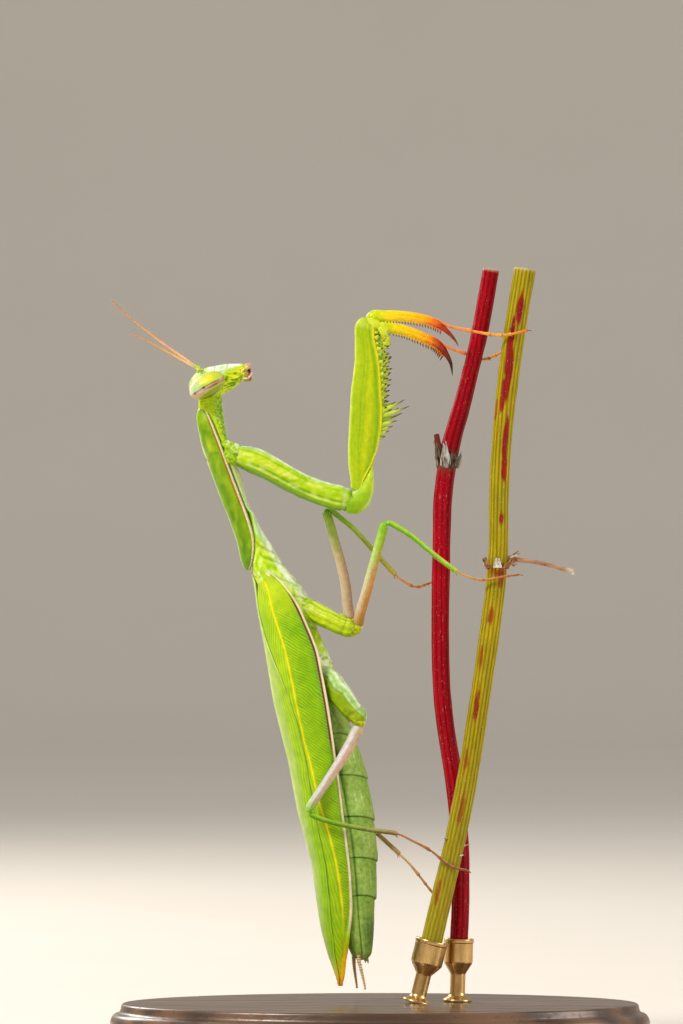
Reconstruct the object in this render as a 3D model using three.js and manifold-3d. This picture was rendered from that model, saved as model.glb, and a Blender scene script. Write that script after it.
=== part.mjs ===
// A praying mantis, an adult female of life size, climbing two dry plant stems on a display stand.
// Millimetres, +Z up. The origin is the middle of the stand's underside.
// The animal climbs head up. Its right side is towards -Y and its belly is towards +X.

import * as THREE from "three";
import { mergeVertices } from "three/addons/utils/BufferGeometryUtils.js";
import Module from "manifold-3d";

const wasm = await Module();
wasm.setup();

// ---------------------------------------------------------------- driving dimensions

const GAP = 0.16; // left between pieces that meet
const MID_Y = 1.0; // where the animal's plane of symmetry crosses Y
const TURN = THREE.MathUtils.degToRad(20); // how far the back is turned towards -Y
const HEAD_PITCH = THREE.MathUtils.degToRad(12); // the mouth points this far above +X
const HEAD_ROLL = THREE.MathUtils.degToRad(10); // the face is turned this far towards -Y

const WING_THICKNESS = 0.5;
const WING_LAYER = 0.42; // each forewing lies this far to its side of the shared arch
const WING_TOP = 53.2;
const WING_TIP = 6.8;

const FEELER_RADIUS = 0.25;
const FOOT_RADIUS = 0.25;
const GREEN_STEM_RADIUS = 1.15;
const RED_STEM_RADIUS = 1.0;
const STEM_TOP = 86.5;
const STEM_BOTTOM = 10;

const BASE_LENGTH = 60;
const BASE_WIDTH = 42;
const BASE_HEIGHT = 5;
const BASE_BEVEL = 1;
const ROD_RADIUS = 0.85;
const CUP_WALL = 0.36;
const CUP_DEPTH = 2.2;
const ROD_FOOT = BASE_HEIGHT - 0.2;

const FORE_SPINE_LENGTH = 2.3; // the longest spines of the fore femur

// Directions of the animal: SIDE is its right, BACK is dorsal.
const UP = new THREE.Vector3(0, 0, 1);
const SIDE = new THREE.Vector3(Math.sin(TURN), -Math.cos(TURN), 0);
const BACK = new THREE.Vector3(-Math.cos(TURN), -Math.sin(TURN), 0);
const BELLY = BACK.clone().negate();

// ---------------------------------------------------------------- colours

const paint = (color, roughness, metalness = 0) =>
  new THREE.MeshStandardMaterial({ color, roughness, metalness });

const COLOURS = {
  skin: 0x9ccc1e,
  belly: 0x6fa35a,
  wing: 0x8fce1c,
  eye: 0xc6d84a,
  feeler: 0xd99a62,
  mouth: 0xb98a5a,
  raptorTip: 0xf0a020,
  walkingFemur: 0xb9a27e,
  foot: 0xc27a3a,
  greenStem: 0x9a9a35,
  redStem: 0x9a1232,
  bract: 0xb59a72,
};

// ---------------------------------------------------------------- shape tools

// A smooth function through a few [place, value] pairs, given in falling or rising order of place.
function track(pairs) {
  const knots = [...pairs].sort((a, b) => a[0] - b[0]);
  const last = knots.length - 1;
  const slope = (i) => {
    const before = knots[Math.max(i - 1, 0)];
    const after = knots[Math.min(i + 1, last)];
    return (after[1] - before[1]) / (after[0] - before[0]);
  };
  return (place) => {
    const at = THREE.MathUtils.clamp(place, knots[0][0], knots[last][0]);
    let i = 0;
    while (i < last - 1 && at > knots[i + 1][0]) i += 1;
    const run = knots[i + 1][0] - knots[i][0];
    const u = (at - knots[i][0]) / run;
    const ease = u * u * (3 - 2 * u);
    const bend = slope(i) * u * (1 - u) ** 2 - slope(i + 1) * u * u * (1 - u);
    return knots[i][1] + (knots[i + 1][1] - knots[i][1]) * ease + bend * run;
  };
}

// A function through values that are evenly spaced from 0 to 1.
const evenly = (...values) => track(values.map((value, i) => [i / (values.length - 1), value]));

// Moves every vertex of a closed geometry.
function warp(geometry, place) {
  const spots = geometry.getAttribute("position");
  const from = new THREE.Vector3();
  for (let i = 0; i < spots.count; i += 1) {
    const to = place(from.fromBufferAttribute(spots, i));
    spots.setXYZ(i, to.x, to.y, to.z);
  }
  return geometry;
}

// A geometry as a manifold solid.
function solid(geometry) {
  const bare = geometry.clone();
  bare.deleteAttribute("normal");
  bare.deleteAttribute("uv");
  const merged = mergeVertices(bare, 1e-4);
  return new wasm.Manifold(
    new wasm.Mesh({
      numProp: 3,
      vertProperties: new Float32Array(merged.getAttribute("position").array),
      triVerts: new Uint32Array(merged.index.array),
    }),
  );
}

// A manifold solid as a geometry, with only its largest piece kept.
function geometryOf(made) {
  const pieces = made.simplify(0.012).decompose();
  const largest = pieces.reduce((a, b) => (b.volume() > a.volume() ? b : a));
  const mesh = largest.getMesh();
  return new THREE.BufferGeometry()
    .setAttribute("position", new THREE.BufferAttribute(mesh.vertProperties, 3))
    .setIndex(new THREE.BufferAttribute(mesh.triVerts, 1));
}

// The arms of a ring: N points the way of `towards`, B completes the frame, T runs along the curve.
function ringFrame(tangent, towards) {
  const n = towards.clone().addScaledVector(tangent, -towards.dot(tangent)).normalize();
  return { n, b: new THREE.Vector3().crossVectors(tangent, n) };
}

// A limb: a closed body along a curve. `tall` is its half-size the way of `towards` and `wide` the
// half-size across. A small `blunt` gives full, square-shouldered ends. `grow` makes the same body
// larger all round.
function limb({ path, towards, tall, wide, sides, rings, blunt = 0.3 }, grow = 0) {
  const curve = new THREE.CatmullRomCurve3(path.map((p) => new THREE.Vector3(...p)));
  return warp(new THREE.SphereGeometry(1, sides, rings), (v) => {
    const t = THREE.MathUtils.clamp((1 - v.y) / 2, 0, 1);
    const tangent = curve.getTangentAt(t);
    const { n, b } = ringFrame(tangent, towards);
    const reach = Math.hypot(v.x, v.z);
    const swell = reach > 0 ? reach ** blunt / reach : 0;
    return curve
      .getPointAt(t)
      .addScaledVector(n, v.x * swell * (tall(t) + grow))
      .addScaledVector(b, v.z * swell * (wide(t) + grow))
      .addScaledVector(tangent, (2 * t - 1) * grow);
  });
}

// A length of the trunk, as level slices from the height `from` down to the height `to`.
// middle is the slice's x; wide, back and belly are its half-sizes, all by height.
function trunk({ from, to, middle, wide, back, belly, sides = 12, rings = 11, blunt = 0.4 }, grow = 0) {
  return warp(new THREE.SphereGeometry(1, sides, rings), (v) => {
    const t = (1 - v.y) / 2;
    const z = THREE.MathUtils.lerp(from, to, t);
    const reach = Math.hypot(v.x, v.z);
    const swell = reach > 0 ? reach ** blunt / reach : 0;
    const deep = (v.x > 0 ? back(z) : belly(z)) + grow;
    return new THREE.Vector3(middle(z), MID_Y, z - (2 * t - 1) * grow)
      .addScaledVector(BACK, v.x * swell * deep)
      .addScaledVector(SIDE, -v.z * swell * (wide(z) + grow));
  });
}

// A length of stem with flat cut ends. Its ridges run along it.
function stem({ path, radius, sides = 9, rings = 15 }, grow = 0) {
  const curve = new THREE.CatmullRomCurve3(path.map((p) => new THREE.Vector3(...p)));
  return warp(new THREE.CylinderGeometry(1, 1, 2, sides, rings), (v) => {
    const t = THREE.MathUtils.clamp((1 - v.y) / 2, 0, 1);
    const tangent = curve.getTangentAt(t);
    const { n, b } = ringFrame(tangent, BACK);
    return curve
      .getPointAt(t)
      .addScaledVector(n, v.x * (radius(t) + grow))
      .addScaledVector(b, v.z * (radius(t) + grow));
  });
}

// The turn that takes +Y to a direction.
const turnTo = (direction) =>
  new THREE.Quaternion().setFromUnitVectors(new THREE.Vector3(0, 1, 0), direction.clone().normalize());

// A straight spine from a foot point, with a blunt tip.
function spine(foot, towards, length, radius) {
  const cone = new THREE.CylinderGeometry(radius * 0.2, radius, length, 5, 1);
  cone.translate(0, length / 2, 0);
  cone.applyQuaternion(turnTo(towards));
  cone.translate(foot.x, foot.y, foot.z);
  return solid(cone);
}

// ---------------------------------------------------------------- the part

const mantis = new THREE.Group();
const cutters = new Map(); // each finished piece, grown by the gap, to cut its later neighbours with

// Adds a node. `build(grow)` gives its geometry, `near` names the nodes it meets, and `more` are
// solids joined to it.
function add(name, material, build, near = [], more = []) {
  let made = more.reduce((sum, piece) => sum.add(piece), solid(build(0)));
  for (const other of near) made = made.subtract(cutters.get(other));
  const mesh = new THREE.Mesh(geometryOf(made), material);
  mesh.name = name;
  mantis.add(mesh);
  cutters.set(name, solid(build(GAP)));
  return mesh;
}

// ---------------------------------------------------------------- stems and stand

const greenStem = {
  path: [
    [16.1, 0, STEM_TOP],
    [15.0, 0, 79.8],
    [13.7, 0, 69.8],
    [13.2, 0, 60.9],
    [13.1, 0, 53.5],
    [12.4, 0, 47.6],
    [11.1, 0, 38.7],
    [9.5, 0, 28.7],
    [7.8, 0, 20.6],
    [5.3, 0, STEM_BOTTOM],
  ],
  radius: track([[0, 1.2], [0.2, 1.12], [0.4, 1.1], [0.432, 1.35], [0.46, 1.12], [1, GREEN_STEM_RADIUS]]),
};

const redStem = {
  path: [
    [12.35, 1.5, STEM_TOP],
    [11.15, 1.5, 79.8],
    [9.55, 1.6, 73],
    [8.1, 1.65, 67.6],
    [7.1, 1.7, 64.4],
    [6.95, 1.8, 59],
    [6.75, 1.9, 49.8],
    [6.9, 2.2, 38.7],
    [7.9, 2.5, 32],
    [8.7, 2.65, 26],
    [9.05, 2.65, 19.8],
    [8.75, 2.65, STEM_BOTTOM],
  ],
  radius: track([[0, 0.92], [0.25, 0.92], [0.285, 1.3], [0.32, 1.0], [1, RED_STEM_RADIUS]]),
};

add("perch_stem_green", paint(COLOURS.greenStem, 0.55), (grow) => stem(greenStem, grow));
add("perch_stem_red", paint(COLOURS.redStem, 0.45), (grow) => stem(redStem, grow), ["perch_stem_green"]);

// The dry side twig at the green stem's node, with its split end.
const twig = {
  path: [[14.6, 0.1, 54.3], [16.6, 0.2, 54.1], [19, 0.1, 53.6], [21.4, -0.1, 52.9]],
  towards: UP,
  tall: evenly(0.35, 0.27, 0.26, 0.42),
  wide: evenly(0.4, 0.28, 0.27, 0.36),
  sides: 8,
  rings: 8,
};
add("perch_twig", paint(COLOURS.bract, 0.8), (grow) => limb(twig, grow), ["perch_stem_green"]);

function base() {
  const half = BASE_LENGTH / 2;
  const profile = [
    new THREE.Vector2(0, 0),
    new THREE.Vector2(half - BASE_BEVEL / 2, 0),
    new THREE.Vector2(half, BASE_BEVEL / 2),
    new THREE.Vector2(half, BASE_HEIGHT - BASE_BEVEL),
    new THREE.Vector2(half - BASE_BEVEL, BASE_HEIGHT),
    new THREE.Vector2(0, BASE_HEIGHT),
  ];
  return new THREE.LatheGeometry(profile, 32)
    .rotateX(Math.PI / 2)
    .scale(1, BASE_WIDTH / BASE_LENGTH, 1);
}

add("stand_base", paint(0x4a2f1f, 0.45), base);

// A rod from the base, with a cup at its top that holds a stem's cut end.
function rod({ foot, top, stemRadius }) {
  const start = new THREE.Vector3(...foot);
  const end = new THREE.Vector3(...top);
  const length = start.distanceTo(end);
  const inner = stemRadius + GAP;
  const outer = inner + CUP_WALL;
  const floor = length - GAP;
  const profile = [
    new THREE.Vector2(0, 0),
    new THREE.Vector2(ROD_RADIUS, 0),
    new THREE.Vector2(ROD_RADIUS, floor - 1.6),
    new THREE.Vector2(outer, floor - 0.6),
    new THREE.Vector2(outer, floor + CUP_DEPTH),
    new THREE.Vector2(inner, floor + CUP_DEPTH),
    new THREE.Vector2(inner, floor),
    new THREE.Vector2(0, floor),
  ];
  return new THREE.LatheGeometry(profile, 12)
    .applyQuaternion(turnTo(end.sub(start)))
    .translate(start.x, start.y, start.z);
}

const rods = [
  { foot: [4.02, 0, ROD_FOOT], top: [5.3, 0, STEM_BOTTOM], stemRadius: GREEN_STEM_RADIUS + 0.08 },
  { foot: [8.6, 2.65, ROD_FOOT], top: [8.75, 2.65, STEM_BOTTOM], stemRadius: RED_STEM_RADIUS + 0.08 },
];
// The rods start a gap above the base.
const clearing = new THREE.BoxGeometry(40, 30, BASE_HEIGHT).translate(0, 0, BASE_HEIGHT / 2 + GAP);
cutters.set("base_top", solid(clearing));
rods.forEach((one, i) => {
  add(`stand_rod_${i + 1}`, paint(0xb08d4a, 0.3, 1), () => rod(one), ["base_top"]);
});

// ---------------------------------------------------------------- head

// Head directions: mouthward, towards the face's front, and towards its right.
const MOUTHWARD = new THREE.Vector3(Math.cos(HEAD_PITCH), 0, Math.sin(HEAD_PITCH));
const FACEWARD = new THREE.Vector3(-Math.sin(HEAD_PITCH), 0, Math.cos(HEAD_PITCH));
FACEWARD.applyAxisAngle(MOUTHWARD, HEAD_ROLL);
const HEAD_RIGHT = new THREE.Vector3().crossVectors(MOUTHWARD, FACEWARD);
const HEAD_MIDDLE = new THREE.Vector3(-18.2, MID_Y + 0.1, 74.15);

// A point of the head from its own coordinates.
const onHead = (mouth, face, right) =>
  HEAD_MIDDLE.clone()
    .addScaledVector(MOUTHWARD, mouth)
    .addScaledVector(FACEWARD, face)
    .addScaledVector(HEAD_RIGHT, right);

const skull = {
  from: -2.75,
  to: 2.95,
  middle: track([[-2.8, 0.35], [-1.5, 0.2], [0, 0.15], [1.5, 0.3], [3, 0.3]]),
  wide: track([[-2.8, 1.5], [-1.8, 2.1], [-0.6, 2.2], [0.6, 1.75], [1.8, 1.15], [3, 0.8]]),
  front: track([[-2.8, 0.55], [-1.5, 1.3], [0, 1.6], [1.5, 1.3], [3, 0.75]]),
  rear: track([[-2.8, 0.75], [-1.5, 1.65], [-0.2, 1.9], [1, 1.65], [2, 1.3], [3, 0.9]]),
};

function skullShape(grow) {
  return warp(new THREE.SphereGeometry(1, 16, 10), (v) => {
    const t = (1 - v.y) / 2;
    const m = THREE.MathUtils.lerp(skull.from, skull.to, t);
    const reach = Math.hypot(v.x, v.z);
    const swell = reach > 0 ? reach ** 0.45 / reach : 0;
    const deep = (v.x > 0 ? skull.front(m) : skull.rear(m)) + grow;
    const face = skull.middle(m) + v.x * swell * deep;
    return onHead(m + (2 * t - 1) * grow, face, v.z * swell * (skull.wide(m) + grow));
  });
}

// Eye: an egg on the upper corner of the head, its long axis leaning from the crown down to the cheek.
const EYE = {
  mouth: -1.1,
  face: 0.0,
  right: 1.95,
  long: 2.1,
  short: 1.22,
  out: 1.3,
  lean: THREE.MathUtils.degToRad(17),
};

function eyeShape(hand, grow) {
  return warp(new THREE.SphereGeometry(1, 12, 9), (v) => {
    const along = v.y * (EYE.long + grow);
    const across = v.x * (EYE.short + grow);
    const mouth = EYE.mouth - along * Math.cos(EYE.lean) - across * Math.sin(EYE.lean);
    const face = EYE.face - along * Math.sin(EYE.lean) + across * Math.cos(EYE.lean);
    return onHead(mouth, face, hand * EYE.right + v.z * (EYE.out + grow));
  });
}

const hands = [
  { name: "right", hand: 1 },
  { name: "left", hand: -1 },
];

for (const { name, hand } of hands) {
  add(`eye_${name}`, paint(COLOURS.eye, 0.25), (grow) => eyeShape(hand, grow));
}
add("head", paint(COLOURS.skin, 0.4), skullShape, ["eye_right", "eye_left"]);

// Labrum, mandibles and palps, as one small muzzle with two feelers.
function muzzle(grow) {
  return warp(new THREE.SphereGeometry(1, 8, 6), (v) => {
    const reach = Math.hypot(v.x, v.z);
    const swell = reach > 0 ? reach ** 0.5 / reach : 0;
    const m = 3.15 - v.y * (0.6 + grow);
    return onHead(m, 0.25 + v.x * swell * (0.8 + grow), v.z * swell * (0.68 + grow));
  });
}
const palpDirection = MOUTHWARD.clone().addScaledVector(FACEWARD, -0.7);
const palps = [-0.45, 0.45].map((right) => spine(onHead(2.9, -0.25, right), palpDirection, 1.0, 0.28));
add("mouthparts", paint(COLOURS.mouth, 0.5), muzzle, ["head"], palps);

// A thin round body of even radius along a path, such as a feeler or a foot.
const thread = (path, radius) => ({
  path,
  towards: UP,
  tall: () => radius,
  wide: () => radius,
  sides: 6,
  rings: 10,
  blunt: 0.15,
});

const antennae = {
  right: [
    [-19.75, 0.35, 75.25], [-21.4, 0.2, 76.4], [-24.4, -0.1, 78.5], [-27.0, -0.4, 80.5],
    [-29.9, -0.8, 83.1],
  ],
  left: [
    [-19.7, 1.5, 75.2], [-21.4, 1.9, 76.1], [-24.0, 2.4, 77.6], [-26.1, 2.9, 78.7],
    [-27.9, 3.4, 79.5],
  ],
};
for (const [name, path] of Object.entries(antennae)) {
  const build = (grow) => limb(thread(path, FEELER_RADIUS), grow);
  add(`antenna_${name}`, paint(COLOURS.feeler, 0.5), build, ["head", "eye_right", "eye_left"]);
}

// ---------------------------------------------------------------- trunk

const keelMiddle = track([
  [72.5, -20.1],
  [71.3, -19.9],
  [68.3, -18.95],
  [65.3, -18.0],
  [62.2, -16.7],
  [59.1, -15.45],
  [56.2, -14.65],
  [53, -14.8],
]);
const shieldWide = track([
  [71.4, 1.2],
  [70.4, 1.6],
  [68.3, 2.0],
  [65.6, 2.4],
  [63.4, 2.05],
  [61, 1.8],
  [57, 1.85],
  [54.6, 1.65],
  [53, 1.1],
]);

const shield = {
  from: 71.4,
  to: 53.0,
  middle: keelMiddle,
  wide: shieldWide,
  back: track([
    [71.4, 0.7], [70.4, 1.1], [68.3, 1.3], [65.3, 1.2], [62.2, 1.45], [59.1, 1.5], [56.1, 1.3],
    [53, 0.7],
  ]),
  belly: () => 0.18,
  blunt: 0.3,
};
add("pronotum", paint(COLOURS.skin, 0.4), (grow) => trunk(shield, grow));

const forebody = {
  from: 71.2,
  to: 56.9,
  middle: keelMiddle,
  wide: track([[71.2, 1.15], [68.3, 1.75], [65.3, 2.15], [62.2, 1.75], [57, 1.65]]),
  back: () => 0.3,
  belly: track([
    [71.2, 2.9], [69.8, 2.5], [68.2, 1.95], [66.6, 2.2], [64.7, 2.15], [61.3, 1.5], [58.6, 1.7],
    [57, 2.2],
  ]),
  blunt: 0.25,
};
add("prothorax", paint(COLOURS.skin, 0.45), (grow) => trunk(forebody, grow), ["pronotum"]);

const collar = {
  path: [[-18.9, MID_Y, 70.9], [-18.75, MID_Y, 73.2]],
  towards: BACK,
  tall: evenly(1.35, 1.3, 1.2),
  wide: evenly(1.15, 1.15, 1.1),
  sides: 10,
  rings: 5,
  blunt: 0.2,
};
const neckNeighbours = ["head", "eye_right", "eye_left", "pronotum", "prothorax"];
add("neck", paint(COLOURS.skin, 0.5), (grow) => limb(collar, grow), neckNeighbours);

// The two forewings share one arch over the back. An angle of 0 is the middle of the back, and the
// right wing's leading edge is on the positive side.
const arch = {
  middle: track([
    [53.4, -13.2],
    [52, -12.5],
    [49, -10.85],
    [44.2, -9.15],
    [38.7, -8.05],
    [31.8, -6.75],
    [26.3, -6.05],
    [20.4, -4.95],
    [16.2, -4.45],
    [10.6, -4.05],
    [8, -3.65],
    [6.7, -3.55],
  ]),
  wide: track([
    [53.4, 2.0], [52, 2.3], [49, 3.0], [44.2, 3.8], [38.7, 4.0], [31.8, 3.7], [26.3, 3.55],
    [20.4, 3.1], [16.2, 2.6], [10.6, 1.6], [8, 1.2], [6.7, 1.1],
  ]),
  high: track([
    [53.4, 0.8], [52, 1.35], [49, 2.65], [44.2, 3.4], [38.7, 3.5], [31.8, 3.0], [26.3, 2.9],
    [20.4, 2.5], [16.2, 2.05], [10.6, 1.2], [8, 0.95], [6.7, 0.9],
  ]),
};

// The leading edge's place round the arch, in degrees down from the middle of the back.
const costalEdge = track([[53.4, 100], [15, 100], [10.6, 88], [8, 58], [6.7, 12]]);

// Each wing's inner edge, in degrees past the middle of the back. The left wing lies on top.
const innerEdge = {
  right: track([[53.4, -40], [52, -4], [50, 14], [46, 30], [40, 38], [12, 40], [8, 25], [6.7, 4]]),
  left: track([
    [53.4, -40], [52, -16], [48, -10], [45, 4], [42, 22], [39, 36], [36, 42], [12, 42], [8, 25],
    [6.7, 4],
  ]),
};

function wing(name, layer) {
  const turn = name === "right" ? 1 : -1;
  const angle = (z, across) => {
    const round = THREE.MathUtils.lerp(costalEdge(z), -innerEdge[name](z), across);
    return THREE.MathUtils.degToRad(turn * round);
  };
  return (grow) =>
    warp(new THREE.BoxGeometry(1, 1, 1, 5, 1, 16), (v) => {
      const z = THREE.MathUtils.lerp(WING_TIP - grow, WING_TOP + grow, v.z + 0.5);
      const a = angle(z, v.x + 0.5);
      const off = layer + v.y * (WING_THICKNESS + 2 * grow);
      const edge = Math.sign(v.x) * (Math.abs(v.x) === 0.5 ? grow : 0);
      const side = (arch.wide(z) + off) * Math.sin(a) - turn * edge * Math.cos(a);
      const back = (arch.high(z) + off) * Math.cos(a) + turn * edge * Math.sin(a);
      return new THREE.Vector3(arch.middle(z), MID_Y, z)
        .addScaledVector(SIDE, side)
        .addScaledVector(BACK, back);
    });
}

const wings = { right: wing("right", -WING_LAYER), left: wing("left", WING_LAYER) };

// The left wing is bent the other way from the right one, so its faces are turned round.
function turnedRound(geometry) {
  const index = geometry.getIndex().array;
  for (let i = 0; i < index.length; i += 3) [index[i + 1], index[i + 2]] = [index[i + 2], index[i + 1]];
  return geometry;
}
const facing = (geometry) => (solid(geometry).volume() < 0 ? turnedRound(geometry) : geometry);
for (const [name, build] of Object.entries(wings)) {
  add(`tegmen_${name}`, paint(COLOURS.wing, 0.4), (grow) => facing(build(grow)), ["pronotum"]);
}

const midbody = {
  from: 57.2,
  to: 38.9,
  middle: track([
    [57.2, -13.5], [56, -13.3], [54.1, -12.4], [51.4, -11.1], [49, -10.1], [46, -9.3],
    [43, -8.3], [40, -7.6], [37.3, -7.2],
  ]),
  wide: track([
    [57.2, 1.4], [54.1, 1.9], [51.4, 2.2], [49, 2.45], [46, 2.5], [43, 2.6], [40, 2.6],
    [37.3, 2.4],
  ]),
  back: track([
    [57.2, 0.7], [54.1, 1.3], [51.4, 1.6], [49, 2.0], [46, 2.3], [43, 2.5], [40, 2.6],
    [37.3, 2.5],
  ]),
  belly: track([
    [57.2, 1.2], [54.1, 1.45], [51.4, 2.4], [49.5, 2.85], [47, 2.2], [45, 2.8], [43, 3.2],
    [40, 3.1], [37.3, 2.7],
  ]),
  sides: 14,
  rings: 12,
  blunt: 0.2,
};
const thoraxNeighbours = ["pronotum", "prothorax", "tegmen_right", "tegmen_left"];
add("thorax", paint(COLOURS.skin, 0.45), (grow) => trunk(midbody, grow), thoraxNeighbours);

const hindbody = {
  from: 38.7,
  to: 9.7,
  middle: track([
    [38.7, -7.4], [36, -6.6], [33.2, -5.65], [27.3, -4.4], [21.2, -3.45], [15.2, -2.95],
    [12, -2.6], [9.7, -2.2],
  ]),
  wide: track([
    [38.7, 2.4], [36, 2.7], [33.2, 2.85], [27.3, 2.85], [21.2, 2.55], [15.2, 2.05], [12, 1.8],
    [9.7, 1.2],
  ]),
  back: track([
    [38.7, 2.4], [36, 2.8], [33.2, 3.1], [27.3, 3.1], [21.2, 2.7], [15.2, 1.9], [12, 1.4],
    [9.7, 0.8],
  ]),
  belly: track([
    [38.7, 3.0], [36, 3.55], [33.2, 3.5], [27.3, 3.5], [21.2, 3.1], [15.2, 2.4], [12, 1.95],
    [9.7, 1.3],
  ]),
  sides: 14,
  rings: 14,
  blunt: 0.2,
};
const abdomenNeighbours = ["thorax", "tegmen_right", "tegmen_left"];
add("abdomen", paint(COLOURS.belly, 0.5), (grow) => trunk(hindbody, grow), abdomenNeighbours);

// Cerci: a short beaded feeler on each side of the abdomen's end.
for (const { name, hand } of hands) {
  const side = SIDE.clone().multiplyScalar(hand);
  const root = new THREE.Vector3(-2.7, MID_Y, 10.0).addScaledVector(side, 0.75);
  const tip = new THREE.Vector3(-2.05, MID_Y, 6.5).addScaledVector(side, 1.35);
  const elbow = root.clone().lerp(tip, 0.5).addScaledVector(side, 0.12);
  const cercus = {
    path: [root.toArray(), elbow.toArray(), tip.toArray()],
    towards: BACK,
    tall: evenly(0.34, 0.32, 0.26),
    wide: evenly(0.34, 0.32, 0.26),
    sides: 7,
    rings: 6,
  };
  const build = (grow) => limb(cercus, grow);
  add(`cercus_${name}`, paint(COLOURS.feeler, 0.5), build, ["abdomen", "tegmen_right", "tegmen_left"]);
}

// ---------------------------------------------------------------- legs

// The walking legs' femora are pinkish beige, the raptorial tibiae turn orange, all feet are tan.
function legColour(pair, node) {
  if (node === "tarsus") return COLOURS.foot;
  if (node === "tibia" && pair === "fore") return COLOURS.raptorTip;
  if (node === "femur" && pair !== "fore") return COLOURS.walkingFemur;
  return COLOURS.skin;
}

const trunkNodes = ["pronotum", "prothorax", "thorax", "abdomen", "tegmen_right", "tegmen_left"];
const stemNodes = ["perch_stem_green", "perch_stem_red", "perch_twig"];

// The middle line of each leg's segments, from the body to the foot. Each segment starts where the
// one before it ends.
const legs = {
  fore_right: {
    coxa: [
      [-16.6, -0.3, 66.2], [-13.4, -0.7, 65.1], [-9.3, -1.1, 62.7], [-5.7, -1.3, 61.3],
      [-2.7, -1.3, 60.7],
    ],
    femur: [
      [-2.15, -1.3, 62.5], [-2.0, -1.3, 65.3], [-1.5, -1.3, 70.5], [-1.55, -1.3, 76],
      [-1.2, -1.3, 81.1],
    ],
    tibia: [[1.2, -1.3, 81.35], [4.6, -1.3, 81.0], [7.1, -1.3, 80.25]],
    claw: [[6.3, -1.3, 80.4], [7.7, -1.3, 79.5], [8.7, -1.3, 77.8]],
    foot: [
      [10.4, -1.35, 79.6], [12.6, -1.4, 79.2], [14.2, -1.5, 79.2], [15.4, -1.6, 79.45],
      [16.4, -1.35, 79.75],
    ],
  },
  fore_left: {
    coxa: [
      [-17.0, 2.3, 66.3], [-13.8, 2.6, 65.2], [-9.7, 2.9, 62.8], [-6.1, 3.0, 61.4],
      [-2.7, 3.0, 60.7],
    ],
    femur: [
      [-1.95, 3.0, 62.5], [-1.7, 3.0, 65.2], [-0.9, 3.0, 70.2], [-0.7, 3.0, 75.4],
      [0.1, 3.0, 80.1],
    ],
    tibia: [[2.3, 3.0, 79.95], [5.4, 3.0, 78.75], [7.2, 3.0, 77.95]],
    claw: [[6.6, 3.0, 78.1], [7.8, 3.0, 76.8], [8.1, 3.0, 74.6]],
    foot: [
      [9.7, 3.05, 77.2], [11.3, 2.95, 76.4], [12.4, 2.1, 76.75], [13.3, 1.6, 77.3],
      [14.3, 1.65, 77.7],
    ],
  },
  mid_right: {
    coxa: [[-8.9, -0.4, 49.7], [-6.4, -1.0, 48.2], [-3.0, -1.4, 46.3]],
    femur: [[-1.9, -1.5, 49.3], [-0.7, -1.4, 53.8], [0.6, -1.3, 58.6]],
    tibia: [[3.1, -1.2, 57.2], [5.9, -1.1, 54.9], [8.6, -1.1, 52.85]],
    foot: [[10.9, -1.35, 52.0], [12.2, -1.6, 52.1], [13.7, -1.8, 52.4], [15.3, -1.4, 52.6]],
  },
  mid_left: {
    coxa: [[-9.3, 2.7, 49.6], [-6.6, 3.2, 48.1], [-3.7, 3.6, 46.9]],
    femur: [[-3.7, 3.9, 51.0], [-4.8, 4.1, 55.4], [-6.1, 4.2, 60.1]],
    tibia: [[-3.1, 4.2, 57.9], [-0.6, 4.0, 55.1], [1.9, 3.8, 52.3]],
    foot: [[4.1, 3.4, 51.15], [5.1, 3.3, 51.5], [5.9, 3.25, 51.75]],
  },
  hind_right: {
    coxa: [[-6.9, -0.6, 42.4], [-5.1, -1.2, 40.0], [-3.4, -1.6, 37.8], [-2.3, -1.8, 35.7]],
    femur: [[-4.0, -2.5, 32.6], [-6.1, -3.2, 29.4], [-8.15, -3.7, 26.35]],
    tibia: [[-6.0, -3.4, 25.35], [-2.0, -2.75, 24.5], [2.0, -2.2, 23.93]],
    foot: [
      [4.0, -2.0, 22.9], [5.9, -1.8, 21.9], [7.0, -1.65, 20.8], [8.4, -1.6, 19.95],
      [9.6, -1.2, 19.85],
    ],
  },
  hind_left: {
    coxa: [[-7.4, 2.7, 42.7], [-6.0, 3.1, 41.2], [-4.7, 3.4, 39.8], [-3.6, 3.7, 38.3]],
    femur: [[-4.2, 4.9, 34.9], [-4.9, 6.0, 31.6], [-5.4, 6.85, 28.6]],
    tibia: [[-2.9, 5.4, 26.1], [-0.3, 3.8, 23.7], [2.3, 2.25, 21.35]],
    foot: [[3.2, 2.1, 20.5], [4.6, 1.95, 18.8], [5.9, 1.8, 17.1], [6.9, 1.75, 16.3]],
  },
};

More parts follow.
